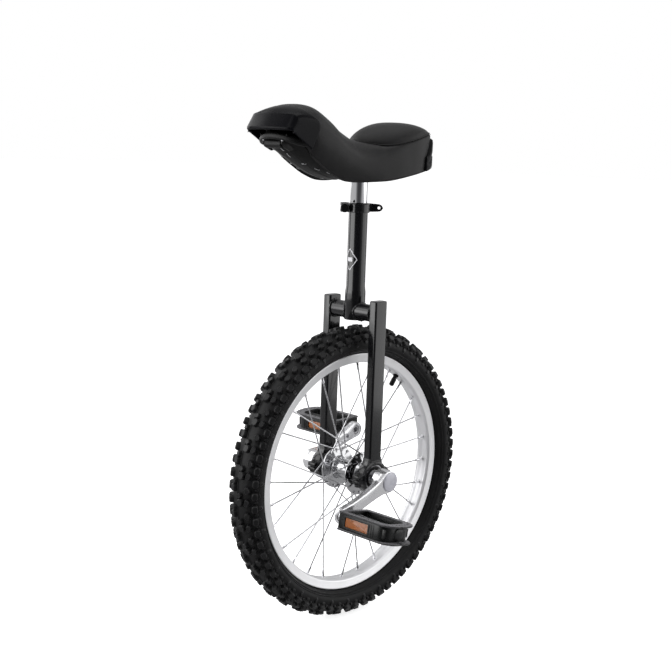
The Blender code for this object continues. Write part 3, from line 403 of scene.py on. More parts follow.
AMBER = amber()
VINYL = vinyl("saddle_vinyl", level=0.0080)
WELT = vinyl("welt_vinyl", level=0.006)
THREAD = plastic("seam_thread", level=0.020, rough=0.55, grain=0.00004, scale=3000.0, wear=0.2)
CAP_GREY = dust_cap_grey()
BRASS = brass()
DECAL = plastic("decal_pale", level=0.62, rough=0.34, grain=0.00001, scale=2600.0, wear=0.1)


# -------------------------------------------------------------------- outlines
def arc(radius, start, end, steps, x=0.0):
    """Points from angle start to end, in degrees, about (x, 0)."""
    angles = [math.radians(start + (end - start) * i / steps) for i in range(steps + 1)]
    return [(x + radius * math.cos(angle), radius * math.sin(angle)) for angle in angles]


def circle(radius, count, centre=(0.0, 0.0), phase=0.0):
    angles = [math.radians(phase) + 2 * math.pi * i / count for i in range(count)]
    return [(centre[0] + radius * math.cos(angle), centre[1] + radius * math.sin(angle))
            for angle in angles]


def box(x0, x1, y0, y1):
    return [(x0, y0), (x1, y0), (x1, y1), (x0, y1)]


def rect(half_x, half_y, corner, steps, centre=(0.0, 0.0)):
    """Rectangle with round corners of the given number of steps."""
    points = []
    for quarter, (sign_x, sign_y) in enumerate(((1, 1), (-1, 1), (-1, -1), (1, -1))):
        for i in range(steps + 1):
            angle = math.radians(90 * quarter + 90 * i / steps)
            points.append((centre[0] + sign_x * (half_x - corner) + corner * math.cos(angle),
                           centre[1] + sign_y * (half_y - corner) + corner * math.sin(angle)))
    return points


def flip_x(points):
    return [(-x, z) for x, z in reversed(points)]


def both_faces(half):
    """Closes a (radius, y) half profile with its mirror image in y = 0."""
    return half + [(radius, -y) for radius, y in reversed(half) if y > 0.01]


def facing(side, profile):
    """A (radius, height) profile with its heights turned to one side."""
    return [(radius, side * height) for radius, height in profile]


def outward(side, low, high):
    return sorted((side * low, side * high))


def at_hub(outline):
    return [(x, z + HUB_Z) for x, z in outline]


def polar(radius, angle, y=0.0):
    """Point at a radius and an angle (radians) round the wheel's axis."""
    return HUB + Vector((radius * math.cos(angle), y, radius * math.sin(angle)))


def spline(keys, steps):
    """Catmull-Rom curve through the keys."""
    keys = [Vector(key) for key in keys]
    out = []
    for i in range(len(keys) - 1):
        one, two = keys[i], keys[i + 1]
        before = keys[i - 1] if i else one * 2 - two
        after = keys[i + 2] if i + 2 < len(keys) else two * 2 - one
        for k in range(steps):
            t = k / steps
            out.append(0.5 * ((2 * one) + (two - before) * t
                              + (2 * before - 5 * one + 4 * two - after) * t * t
                              + (3 * one - before - 3 * two + after) * t * t * t))
    out.append(keys[-1])
    return out


def table(rows, x):
    """Smooth value at x from (x, value) rows; it doesn't overshoot at a peak."""
    if x <= rows[0][0]:
        return rows[0][1]
    if x >= rows[-1][0]:
        return rows[-1][1]
    i = next(i for i in range(len(rows) - 1) if rows[i][0] <= x <= rows[i + 1][0])

    def slope_of(k):
        return (rows[k + 1][1] - rows[k][1]) / (rows[k + 1][0] - rows[k][0])

    slope = slope_of(i)
    before = slope_of(i - 1) if i else slope
    after = slope_of(i + 1) if i + 2 < len(rows) else slope
    leave = 0.0 if before * slope <= 0 else (before + slope) / 2
    arrive = 0.0 if slope * after <= 0 else (slope + after) / 2
    width = rows[i + 1][0] - rows[i][0]
    t = (x - rows[i][0]) / width
    return ((2 * t ** 3 - 3 * t ** 2 + 1) * rows[i][1]
            + (t ** 3 - 2 * t ** 2 + t) * width * leave
            + (3 * t ** 2 - 2 * t ** 3) * rows[i + 1][1] + (t ** 3 - t ** 2) * width * arrive)


# --------------------------------------------------------------------- solids
def new_verts(mesh, points):
    return [mesh.verts.new(Vector(point) * MM) for point in points]


def add_face(mesh, *corners):
    """Face through the corners, each used once; none if fewer than three are left."""
    corners = list(dict.fromkeys(corners))
    if len(corners) > 2:
        mesh.faces.new(corners)


def fix_normals(mesh):
    bmesh.ops.recalc_face_normals(mesh, faces=mesh.faces)
    return mesh


def lathe(profile, steps, centre=(0, 0, 0), axis="Y", closed=True, shape=None):
    """Turns (radius, height) points about a Y or Z line through centre.

    Points of zero radius are shared poles. shape(i, angle) scales the radius of
    profile point i.
    """
    mesh = bmesh.new()
    x, y, z = centre
    rows = []
    poles = {}
    for k in range(steps):
        angle = 2 * math.pi * k / steps
        row = []
        for i, (radius, height) in enumerate(profile):
            if i in poles:
                row.append(poles[i])
                continue
            if shape:
                radius *= shape(i, angle)
            first, second = radius * math.cos(angle), radius * math.sin(angle)
            if axis == "Y":
                point = (x + first, y + height, z + second)
            else:
                point = (x + first, y + second, z + height)
            row += new_verts(mesh, [point])
            if radius < 1e-6:
                poles[i] = row[-1]
        rows.append(row)
    count = len(profile)
    for one, two in zip(rows, rows[1:] + rows[:1]):
        for i in range(count if closed else count - 1):
            j = (i + 1) % count
            add_face(mesh, one[i], one[j], two[j], two[i])
    return fix_normals(mesh)


def bevel_edges(mesh, width, segments=2, angle=40.0):
    edges = [edge for edge in mesh.edges if len(edge.link_faces) == 2
             and edge.calc_face_angle(0.0) > math.radians(angle)]
    bmesh.ops.bevel(mesh, geom=edges, offset=width * MM, segments=segments, profile=0.5,
                    affect="EDGES", clamp_overlap=True)
    return fix_normals(mesh)


def slab(outline, low, high, axis, bevel=0.0, segments=2, angle=40.0):
    """Straight solid from an outline, with its edges rounded if bevel is set."""
    def along(first, second, height):
        return {"X": (height, first, second), "Y": (first, height, second),
                "Z": (first, second, height)}[axis]

    mesh = bmesh.new()
    face = mesh.faces.new(new_verts(mesh, [along(*point, low) for point in outline]))
    made = bmesh.ops.extrude_face_region(mesh, geom=[face])["geom"]
    top = [item for item in made if isinstance(item, bmesh.types.BMVert)]
    bmesh.ops.translate(mesh, verts=top, vec=Vector(along(0, 0, high - low)) * MM)
    fix_normals(mesh)
    return bevel_edges(mesh, bevel, segments, angle) if bevel else mesh


def rings_mesh(rings, closed=False):
    """Skin over rings of points: a loop if closed, else capped at both ends."""
    mesh = bmesh.new()
    rows = [new_verts(mesh, ring) for ring in rings]
    for one, two in zip(rows, rows[1:] + (rows[:1] if closed else [])):
        for i in range(len(one)):
            j = (i + 1) % len(one)
            mesh.faces.new((one[i], one[j], two[j], two[i]))
    if not closed:
        mesh.faces.new(list(reversed(rows[0])))
        mesh.faces.new(rows[-1])
    return fix_normals(mesh)


def ring_at(centre, across, over, radius, count, shape=None):
    """Ring of points; shape(i, angle) scales the radius of point i."""
    points = []
    for i in range(count):
        angle = 2 * math.pi * i / count
        reach = radius * shape(i, angle) if shape else radius
        points.append(centre + (across * math.cos(angle) + over * math.sin(angle)) * reach)
    return points


def frames(path, closed=False):
    """(point, tangent, across, over) along a path, without twist."""
    path = [Vector(point) for point in path]
    last = len(path) - 1
    tangents = []
    for i in range(last + 1):
        if closed:
            way = path[(i + 1) % (last + 1)] - path[i - 1]
        else:
            way = path[min(i + 1, last)] - path[max(i - 1, 0)]
        tangents.append(way.normalized())
    across = tangents[0].orthogonal().normalized()
    out = []
    for point, tangent in zip(path, tangents):
        across = (across - tangent * across.dot(tangent)).normalized()
        out.append((point, tangent, across, tangent.cross(across)))
    return out


def tube(path, radius, sides=10, closed=False):
    """Tube of one radius, or of a list with one radius for each point."""
    radii = radius if isinstance(radius, list) else [radius] * len(path)
    return rings_mesh([ring_at(point, across, over, size, sides)
                       for (point, _, across, over), size in zip(frames(path, closed), radii)],
                      closed)


def weld(path, radius, ripple, rate):
    """Closed bead whose radius ripples along the path."""
    return tube(path, [radius + ripple * math.sin(i * rate) for i in range(len(path))], 8,
                closed=True)


def join(parts):
    whole = bmesh.new()
    for part in parts:
        data = bpy.data.meshes.new("part")
        part.to_mesh(data)
        part.free()
        whole.from_mesh(data)
        bpy.data.meshes.remove(data)
    return whole


def move(mesh, matrix):
    bmesh.ops.transform(mesh, matrix=matrix, verts=mesh.verts)
    if matrix.determinant() < 0:
        bmesh.ops.reverse_faces(mesh, faces=mesh.faces)
    return mesh


def shift(offset):
    return Matrix.Translation(Vector(offset) * MM)


def spin(degrees, axis, about=(0, 0, 0)):
    turn = Matrix.Rotation(math.radians(degrees), 4, axis)
    return shift(about) @ turn @ shift(-Vector(about))


def new_object(name, mesh):
    data = bpy.data.meshes.new(name)
    mesh.to_mesh(data)
    mesh.free()
    obj = bpy.data.objects.new(name, data)
    SCENE.collection.objects.link(obj)
    return obj


def boolean(mesh, tools, operation="DIFFERENCE"):
    """Applies an exact boolean with each tool in turn and returns a new mesh."""
    body = new_object("body", mesh)
    made = []
    for tool in tools:
        made.append(new_object("tool", tool))
        step = body.modifiers.new("cut", "BOOLEAN")
        step.operation = operation
        step.solver = "EXACT"
        step.object = made[-1]
    bpy.context.view_layer.update()
    graph = bpy.context.evaluated_depsgraph_get()
    result = bpy.data.meshes.new_from_object(body.evaluated_get(graph))
    out = bmesh.new()
    out.from_mesh(result)
    bpy.data.meshes.remove(result)
    for obj in made + [body]:
        data = obj.data
        bpy.data.objects.remove(obj, do_unlink=True)
        bpy.data.meshes.remove(data)
    return out


def place(name, mesh, material, body, replaces=None, sharp=30.0, ride=True):
    obj = new_object(name, mesh)
    obj.data.materials.append(material)
    obj.data.shade_smooth()
    if sharp is not None:
        obj.data.set_sharp_from_angle(angle=math.radians(sharp))
    if ride:
        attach(obj, body)
    if replaces:
        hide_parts(replaces)
    return obj


def dress(node, material):
    """Puts a material on a CAD piece that is kept."""
    materials = NODES[node].data.materials
    materials.clear()
    materials.append(material)


# ------------------------------------------------------------------- the tyre
# (radius, y) from the middle of the crown to the sidewall's foot
CROWN_KEYS = [(222.3, 0.0), (222.2, 0.5), (221.3, 1.2), (220.4, 4.0), (219.5, 9.0), (217.4, 14.5),
              (213.8, 19.2), (208.9, 23.4), (203.0, 26.0), (198.6, 26.4), (195.4, 25.4),
              (193.2, 23.9)]
# (radius, y) round the bead and back up inside the casing
BEAD = [(192.9, 24.1), (192.2, 24.1), (191.8, 23.4), (191.5, 22.3), (190.2, 20.9), (189.9, 21.1),
        (189.2, 20.9), (188.8, 20.0), (188.2, 18.6), (187.2, 17.0), (186.0, 15.6), (185.5, 14.4),
        (185.2, 12.6), (185.0, 11.3), (178.0, 11.3), (177.8, 9.0), (186.0, 9.6), (199.0, 23.4),
        (211.0, 18.5), (217.0, 8.0)]
TREAD_PITCHES = 72
BLOCK_SINK = 1.2

crown = spline(CROWN_KEYS, 4)
carcass_profile = both_faces([tuple(point) for point in crown] + BEAD)
place("tyre_carcass", lathe(carcass_profile, 288, HUB), TYRE, "wheel", "tyre", 50.0)

crown_lengths = [0.0]
for one, two in zip(crown, crown[1:]):
    crown_lengths.append(crown_lengths[-1] + (two - one).length)


def on_crown(s):
    """Radius, y and outward normal at arc length s from the crown's middle."""
    sign = 1 if s >= 0 else -1
    s = abs(s)
    i = next(i for i in range(len(crown) - 1) if crown_lengths[i] <= s <= crown_lengths[i + 1])
    one, two = crown[i], crown[i + 1]
    point = one.lerp(two, (s - crown_lengths[i]) / (crown_lengths[i + 1] - crown_lengths[i]))
    along = (two - one).normalized()
    normal = Vector((along.y, -along.x))
    if normal.x < 0:
        normal = -normal
    return point.x, sign * point.y, normal.x, sign * normal.y


def block(mesh, angle, s, length, width, height, taper=0.84, cut=0.26, skew=0.0):
    """Adds one eight-sided, tapered tread block with a chamfered top."""
    radius, y, normal_r, normal_y = on_crown(s)
    angle = math.radians(angle)
    radial = Vector((math.cos(angle), 0, math.sin(angle)))
    along = Vector((-math.sin(angle), 0, math.cos(angle)))
    rise = (radial * normal_r + Vector((0, 1, 0)) * normal_y).normalized()
    side = along.cross(rise).normalized()
    if side.y < 0:
        side = -side
    base = HUB + radial * radius + Vector((0, y, 0))
    turn = math.radians(skew)
    long_way = along * math.cos(turn) + side * math.sin(turn)
    wide_way = side * math.cos(turn) - along * math.sin(turn)
    rows = []
    for level, scale in ((-BLOCK_SINK, 1.04), (height - 0.9, taper), (height, taper - 0.13)):
        half_l, half_w = length / 2 * scale, width / 2 * scale
        in_l, in_w = half_l - length * cut * scale, half_w - width * cut * scale
        outline = ((half_l, in_w), (in_l, half_w), (-in_l, half_w), (-half_l, in_w),
                   (-half_l, -in_w), (-in_l, -half_w), (in_l, -half_w), (half_l, -in_w))
        rows.append(new_verts(mesh, [base + long_way * u + wide_way * v + rise * level
                                     for u, v in outline]))
    for one, two in zip(rows, rows[1:]):
        for i in range(8):
            j = (i + 1) % 8
            mesh.faces.new((one[i], one[j], two[j], two[i]))
    mesh.faces.new(rows[-1])
    mesh.faces.new(list(reversed(rows[0])))


tread = bmesh.new()
step = 360.0 / TREAD_PITCHES
for k in range(TREAD_PITCHES):
    a = k * step
    odd = k % 2
    turn = 1 if odd else -1
    # centre rows, staggered each side of the parting ridge
    block(tread, a + 0.5 * step, 7.4 * turn, 12.6, 10.2, 5.7, skew=10 * turn)
    block(tread, a, -6.2 * turn, 8.6, 7.6, 5.2, skew=-8 * turn, cut=0.3)
    for sign in (1, -1):
        middle = a + step * (0.5 if (odd == (sign > 0)) else 0.44)
        block(tread, middle, sign * 17.0, 11.2, 8.2, 5.6, skew=sign * (14 if odd else -8))
        # shoulder: a tall block, then low ones running down the sidewall
        shoulder = a + step * (0.0 if sign > 0 else 0.5)
        block(tread, shoulder, sign * 27.2, 12.2, 9.4, 6.0, taper=0.86, cut=0.2)
        block(tread, shoulder + step * 0.5, sign * 29.8, 5.4, 6.4, 2.2, taper=0.7)
        block(tread, shoulder, sign * (35.4 if odd else 33.8), 8.0 if odd else 9.6,
              10.0 if odd else 6.4, 1.7, taper=0.66, cut=0.3)
place("tyre_tread", fix_normals(tread), TREAD, "wheel", sharp=25.0)

hairs = []
rng = np.random.default_rng(11)
for k in range(84):
    a = math.radians(float(rng.uniform(-60, 240) if k < 54 else rng.uniform(55, 125)))
    s = float(rng.choice([-21.0, -9.5, 9.5, 21.0])) + float(rng.uniform(-0.8, 0.8))
    radius, y, normal_r, normal_y = on_crown(s)
    radial = Vector((math.cos(a), 0, math.sin(a)))
    rise = (radial * normal_r + Vector((0, normal_y, 0))).normalized()
    bend = Vector(rng.uniform(-1, 1, 3)) * 0.9
    base = HUB + radial * (radius - 0.6) + Vector((0, y, 0))
    size = float(rng.uniform(4.5, 8.0))
    hairs.append(tube([base, base + rise * size * 0.55 + bend * 0.3, base + rise * size + bend],
                      [0.34, 0.27, 0.16], 5))
place("tyre_moulding_hairs", join(hairs), TREAD, "wheel", sharp=38.0)

# --------------------------------------------------------------------- the rim
# (radius, y) of one half, from the well's outer face round to its inner face
RIM_HALF = [(172.8, 6.0), (173.2, 7.2), (176.0, 11.2), (177.2, 11.75), (183.2, 11.9),
            (183.8, 12.15), (184.0, 12.7), (183.9, 13.4), (183.3, 13.95), (182.4, 14.0),
            (182.0, 13.82), (172.4, 13.35), (171.5, 13.0), (170.7, 12.0), (169.9, 10.4),
            (169.5, 9.6), (169.3, 8.6), (169.35, 5.6), (169.7, 4.9)]
place("rim_extrusion", lathe(both_faces(RIM_HALF), 264, HUB), ALLOY, "wheel",
      "rim", 40.0)

# ------------------------------------------------------------------ the spokes
FLANGE_IN, FLANGE_OUT = 23.5, 26.5
HOLE_R = 29.3
BED_R = 169.9
# (distance along the nipple, radius, whether the section is square)
NIPPLE = [(0.0, 1.25, False), (0.5, 1.7, False), (1.4, 1.95, False), (7.4, 1.95, False),
          (8.0, 2.05, True), (12.0, 2.05, True), (12.6, 2.5, False), (14.6, 2.5, False)]


def hole_angles(side):
    """Angles of one flange's holes, in radians."""
    start = SPOKE_START if side > 0 else SPOKE_START - SPOKE_PITCH
    return [math.radians(start + 2 * SPOKE_PITCH * k) for k in range(SPOKES // 2)]


def square_shape(_, angle):
    return min(1.0 / max(abs(math.cos(angle)), abs(math.sin(angle))), 1.24) * 0.84


def spoke(side, leading, hole_angle):
    """Wire, head, nipple and rim seat; leading spokes have their heads outside."""
    rim_angle = hole_angle + math.radians(4 * SPOKE_PITCH * (1 if leading else -1))
    if leading:
        head_y, elbow_y = FLANGE_OUT + 1.2, FLANGE_IN - 1.4
    else:
        head_y, elbow_y = FLANGE_IN - 1.2, FLANGE_OUT + 1.4
    head = polar(HOLE_R, hole_angle, side * head_y)
    elbow = polar(HOLE_R, hole_angle, side * elbow_y)
    bed = polar(BED_R, rim_angle, side * 0.8)
    way = (bed - elbow).normalized()
    through = Vector((0, side * (-1 if leading else 1), 0))
    nipple_start = bed - way * 13.5
    path = [head, head + through * 0.8, elbow - through * 1.5,
            elbow - through * 0.6 + way * 0.25, elbow + way * 0.9, elbow + way * 2.0]
    path += [elbow + (nipple_start - elbow) * t for t in (0.25, 0.5, 0.75, 1.0)]
    wire = tube(path, 1.12, 8)
    button = tube([head + through * d for d in (-0.5, -0.2, 0.35, 0.5)], [0.9, 1.75, 1.85, 1.0])
    foot, tangent, across, over = frames([nipple_start - way * 0.5, bed + way * 1.2])[0]
    nipple = rings_mesh([ring_at(foot + tangent * d, across, over, radius, 16,
                                 square_shape if square else None)
                         for d, radius, square in NIPPLE])
    seat = tube([bed - way * d for d in (0.05, 0.35, 0.5)], [3.9, 3.7, 3.0], 20)
    return [wire, button], nipple, seat


nipples, seats = [], []
for side, tag in SIDES:
    wires = []
    for k, hole_angle in enumerate(hole_angles(side)):
        wire, nipple, seat = spoke(side, k % 2 == 0, hole_angle)
        wires += wire
        nipples.append(nipple)
        seats.append(seat)
    place(f"spokes_{tag}_wires", join(wires), SPOKE_STEEL, "wheel",
          f"spokes_{tag}", 38.0)
place("spoke_nipples", join(nipples), CHROME, "wheel", sharp=38.0)
place("rim_spoke_seats", join(seats), ALLOY, "wheel", sharp=38.0)

# ------------------------------------------------------------------- the valve
# (distance from the wheel's axis, radius of the stem or cap)
VALVE = [(169.9, 4.2), (168.6, 4.4), (167.2, 4.3), (166.6, 3.4), (163.4, 3.2), (163.2, 3.6),
         (162.9, 4.0), (152.4, 4.0), (151.4, 3.5), (150.6, 2.4), (150.4, 0.6)]
FLUTED = (7, 8)  # rows of VALVE with a fluted section

valve_way = Vector((math.cos(math.radians(VALVE_ANGLE)), 0, math.sin(math.radians(VALVE_ANGLE))))
wheel_way = Vector((0, 1, 0))


def flute_shape(i, _):
    return 0.93 if i % 2 else 1.0


rings = [ring_at(HUB + valve_way * reach, wheel_way, valve_way.cross(wheel_way), radius, 30,
                 flute_shape if row in FLUTED else None)
         for row, (reach, radius) in enumerate(VALVE)]
place("valve_and_cap", rings_mesh(rings), BLACK, "wheel", "valve_cap")
dress("inner_tube", BUTYL)

# --------------------------------------------------------------------- the hub
# (radius, y) of the left half, from the bore's end to the waist
HUB_HALF = [(8.9, 36.6), (9.4, 37.0), (12.4, 37.0), (12.9, 36.6), (13.2, 33.0), (15.6, 30.4),
            (16.4, 28.2), (17.2, 26.9), (18.2, 26.5), (31.9, 26.5), (32.7, 26.1), (33.0, 25.4),
            (33.0, 24.5), (32.7, 23.8), (31.9, 23.5), (20.5, 23.5), (18.2, 23.0), (16.6, 21.4),
            (15.9, 19.0), (15.5, 16.0), (15.0, 10.0), (14.8, 3.0)]
drills = [slab(circle(1.55, 12, (HOLE_R * math.cos(a), HUB_Z + HOLE_R * math.sin(a))),
               side * 25 - 4, side * 25 + 4, "Y")
          for side in (1, -1) for a in hole_angles(side)]
place("hub_polished", boolean(lathe(both_faces(HUB_HALF), 112, HUB), [join(drills)]), HUB_METAL,
      "wheel", "hub_shell", 32.0)
dress("axle", STEEL)

# ---------------------------------------------------------------- the bearings
# (radius, y from the bearing's middle)
OUTER_RACE = [(20.0, -5.4), (19.6, -6.0), (17.6, -6.0), (17.2, -5.6), (17.0, -5.2), (18.1, 0),
              (17.0, 5.2), (17.2, 5.6), (17.6, 6.0), (19.6, 6.0), (20.0, 5.4)]
INNER_RACE = [(8.85, -5.6), (9.2, -6.0), (11.5, -6.0), (11.8, -5.6), (11.9, -2.6), (10.8, 0),
              (11.9, 2.6), (11.8, 5.6), (11.5, 6.0), (9.2, 6.0), (8.85, 5.6)]
SEAL = [(12.5, -5.0), (12.5, -5.5), (16.6, -5.7), (17.3, -5.5), (17.3, -5.0)]
for side, tag in SIDES:
    middle = HUB + Vector((0, side * LEG_Y, 0))
    place(f"bearing_outer_ring_{tag}", lathe(OUTER_RACE, 80, middle), STEEL, "frame",
          f"bearing_outer_race_{tag}")
    place(f"bearing_inner_ring_{tag}", lathe(INNER_RACE, 64, middle), STEEL, "wheel",
          f"bearing_inner_race_{tag}")
    seals = [lathe(facing(sign, SEAL), 72, middle) for sign in (1, -1)]
    place(f"bearing_seals_{tag}", join(seals), BLACK, "frame")
    dress(f"bearing_ball_cage_{tag}", BRASS)

# -------------------------------------------------------------------- the fork
LEG_HALF_X, LEG_HALF_Y, LEG_CORNER = 12.5, 7.5, 3.4
# (z, share of the section's half width that is left)
LEG_LEVELS = [(250.2, 1.0), (300.0, 1.0), (400.0, 1.0), (492.6, 1.0), (493.5, 0.985),
              (494.15, 0.95), (494.45, 0.90), (494.5, 0.80)]
# (x, z from the hub) of the bearing holder's ends at +X
UPPER_END = [(33.6, 0.45), (33.9, 1.2), (33.9, 5.6), (33.0, 6.8), (31.8, 7.0), (26.6, 7.6),
             (24.6, 8.8)]
LOWER_END = [(33.6, -0.45), (33.9, -1.2), (33.9, -5.2), (33.0, -6.3), (31.8, -6.5), (26.4, -6.9),
             (24.4, -8.4)]
WEB = [(-16.5, 18.0), (16.5, 18.0), (14.2, 24.2), (13.0, 27.0), (12.9, 30.5), (-12.9, 30.5),
       (-13.0, 27.0), (-14.2, 24.2)]
# (radius, y from the leg) of the raised ring on the holder's faces
LIP = [(20.3, 6.0), (22.6, 6.0), (22.6, 8.2), (22.1, 8.8), (20.9, 8.8), (20.3, 8.2)]
HOLDER_BOLT_X = 28.6
CROWN_Z = 474.5


def fork_leg(leg_y, tag):
    rings = []
    for z, share in LEG_LEVELS:
        pinch = LEG_HALF_X * (1 - share)

        def drawn_in(value):
            return math.copysign(max(0.0, abs(value) - pinch), value)

        rings.append([(drawn_in(x), leg_y + drawn_in(y), z)
                      for x, y in rect(LEG_HALF_X, LEG_HALF_Y, LEG_CORNER, 7)])
    place(f"fork_leg_tube_{tag}", rings_mesh(rings), PAINT, "frame",
          f"fork_leg_{tag}", 40.0)


def holder_half(leg_y, end, crest, sign):
    """Upper (sign 1) or lower (sign -1) clamp half and its two raised lips."""
    bore = arc(20.1, sign * 178.7, sign * 1.3, 26)
    body = slab(at_hub(end + crest + flip_x(end) + bore), leg_y - 7.4, leg_y + 7.4, "Y",
                bevel=0.9)
    start, stop = (1.4, 178.6) if sign > 0 else (181.4, 358.6)
    angles = [math.radians(start + (stop - start) * i / 32) for i in range(33)]
    lips = [rings_mesh([[polar(radius, a, leg_y + face * y) for radius, y in LIP]
                        for a in angles]) for face in (1, -1)]
    return body, lips


def bearing_holder(leg_y, tag):
    upper, upper_lips = holder_half(leg_y, UPPER_END, arc(25.6, 22, 158, 22), 1)
    lower, lower_lips = holder_half(leg_y, LOWER_END, arc(24.8, -21, -159, 22), -1)
    web = slab(at_hub(WEB), leg_y - 6.9, leg_y + 6.9, "Y", bevel=0.8)
    seam = [(x * 1.02, leg_y + y * 1.03, 252.4 + 0.5 * math.sin(i * 2.3))
            for i, (x, y) in enumerate(rect(LEG_HALF_X, LEG_HALF_Y, LEG_CORNER, 10))]
    bead = weld(seam, radius=0.75, ripple=0.12, rate=1.9)
    place(f"bearing_holder_upper_{tag}", join([upper, web, bead] + upper_lips), PAINT, "frame",
          f"bearing_saddle_{tag}", 35.0)
    place(f"bearing_holder_cap_{tag}", join([lower] + lower_lips), PAINT, "frame",
          f"bearing_cap_{tag}", 35.0)


def holder_bolt(x, leg_y, name):
    """Vertical bolt with its head below and its threaded tip above."""
    middle = Vector((x, leg_y, HUB_Z))
    head = slab(circle(5.3, 6, (x, leg_y), 30), HUB_Z - 11.2, HUB_Z - 7.5, "Z", bevel=0.5,
                angle=20)
    washer = lathe([(3.2, -7.5), (5.9, -7.5), (6.0, -7.2), (6.0, -6.8), (3.2, -6.7)], 28,
                   middle, "Z")
    thread = [(0, -6.9), (2.9, -6.9), (2.9, 7.0)]
    for i in range(5):
        thread += [(2.95, 7.3 + 0.8 * i), (2.55, 7.7 + 0.8 * i)]
    thread += [(2.3, 11.1), (0, 11.3)]
    shank = lathe(thread, 18, middle, "Z", closed=False)
    boss = lathe([(3.3, 6.6), (5.6, 6.6), (5.5, 7.6), (5.0, 8.2), (3.3, 8.2)], 28, middle, "Z")
    place(f"{name}_hex", join([head, washer, shank, boss]), DARK_STEEL, "frame", name)


def crown_stub(side, tag):
    """Short tube from the seat tube to the leg, with a weld at each end."""
    leg_face = side * (LEG_Y - LEG_HALF_Y)
    stub = lathe([(12.7, side * 6.0), (12.7, leg_face), (11.2, leg_face), (11.2, side * 6.0)],
                 64, (0, 0, CROWN_Z))
    bore = lathe([(0, 440.0), (13.6, 440.0), (13.6, 510.0), (0, 510.0)], 64, axis="Z",
                 closed=False)
    stub = boolean(stub, [bore])
    inner_seam = [(x, side * (math.sqrt(max(0.0, 15.9 ** 2 - x * x)) + 0.3), CROWN_Z + z)
                  for x, z in circle(13.1, 72)]
    outer_seam = [(x, leg_face - side * 0.6, CROWN_Z + z) for x, z in circle(13.3, 72)]
    welds = [weld(inner_seam, radius=1.6, ripple=0.35, rate=1.75),
             weld(outer_seam, radius=1.5, ripple=0.3, rate=1.75)]
    place(f"crown_stub_{tag}", join([stub] + welds), PAINT, "frame",
          f"crown_tube_{tag}", 45.0)


for side, tag in SIDES:
    fork_leg(side * LEG_Y, tag)
    bearing_holder(side * LEG_Y, tag)
    for sign, end in ENDS:
        holder_bolt(sign * HOLDER_BOLT_X, side * LEG_Y, f"holder_bolt_{tag}_{end}")
    crown_stub(side, tag)

# --------------------------------------------------------------- the seat tube
TUBE_R = 14.3
MARK_Z = 552.5
# (radius, z)
SEAT_TUBE = [(13.15, 461.9), (15.1, 461.5), (15.5, 462.1), (15.5, 502.0), (15.35, 504.6),
             (14.9, 507.6), (14.55, 509.8), (TUBE_R, 512.0), (TUBE_R, 634.6), (13.9, 635.0),
             (13.2, 635.0), (13.1, 634.5)]
tube_slot = move(slab(box(8, 22, -1.2, 1.2), 604.0, 640.0, "Z"), spin(CLAMP_ANGLE, "Z"))
place("seat_tube_painted", boolean(lathe(SEAT_TUBE, 96, axis="Z"), [tube_slot]), PAINT, "frame",
      "seat_tube", 40.0)


def on_tube(u, z, lift):
    """Point at arc length u from the tube's front line."""
    radius = TUBE_R + lift
    return (radius * math.cos(u / TUBE_R), radius * math.sin(u / TUBE_R), z)


def strip(mesh, points, width):
    """Adds a flat strip on the tube through (arc length, z) points."""
    for start, end in zip(points, points[1:]):
        start, end = Vector(start), Vector(end)
        way = (end - start).normalized()
        edge = Vector((-way.y, way.x)) * width / 2
        rows = []
        for i in range(11):
            middle = start + (end - start) * i / 10
            left, right = middle + edge, middle - edge
            rows.append(new_verts(mesh, [on_tube(*left, 0.06), on_tube(*right, 0.06),
                                         on_tube(*right, -0.2), on_tube(*left, -0.2)]))
        for one, two in zip(rows, rows[1:]):
            for i in range(4):
                j = (i + 1) % 4
                mesh.faces.new((one[i], one[j], two[j], two[i]))
        mesh.faces.new(rows[0])
        mesh.faces.new(rows[-1][::-1])


# pale lozenge outline with a bar across its middle
decal = bmesh.new()
strip(decal, [(0, MARK_Z - 16), (12, MARK_Z), (0, MARK_Z + 16), (-12, MARK_Z), (0, MARK_Z - 16)],
      1.2)
strip(decal, [(-4.6, MARK_Z), (4.6, MARK_Z)], 6.0)
place("tube_lozenge_decal", fix_normals(decal), DECAL, "frame")

# --------------------------------------------------------- quick-release clamp
# modelled with the ears along +X, then turned to CLAMP_ANGLE
PIN_Y = -16.6  # the lever's pivot, from the rod's middle
COLLAR = [(14.45, 622.7), (14.7, 622.4), (16.3, 622.4), (16.9, 623.0), (16.9, 634.9),
          (16.3, 635.5), (14.7, 635.5), (14.45, 635.2)]
EARS = [(14.9, -7.2), (25.2, -7.2), (26.6, -5.8), (26.6, 5.8), (25.2, 7.2), (14.9, 7.2)]
ROD = [(0, -16.6), (2.5, -16.6), (2.5, 17.0), (2.1, 17.6), (0, 17.6)]
PIVOT = [(0, -6.4), (2.9, -6.4), (3.2, -6.1), (3.2, 6.1), (2.9, 6.4), (0, 6.4)]
NUT = [(0, 6.4), (3.6, 6.4), (5.6, 6.1), (6.4, 5.3), (6.6, 4.2), (6.6, -3.0), (6.2, -4.2),
       (5.4, -4.9), (2.8, -4.9), (2.8, 4.6), (0, 4.6)]
# (share of half height, share of half thickness) round the blade's section
BLADE_SECTION = [(-0.86, -1), (0.86, -1), (1.0, -0.45), (1.0, 0.45), (0.86, 1), (-0.86, 1),
                 (-1.0, 0.45), (-1.0, -0.45)]
clamp_turn = Matrix.Rotation(math.radians(CLAMP_ANGLE), 4, "Z")
clamp_x = Vector((math.cos(math.radians(CLAMP_ANGLE)), math.sin(math.radians(CLAMP_ANGLE)), 0))
to_rod = shift(clamp_x * 20.4 + Vector((0, 0, 629.0))) @ clamp_turn

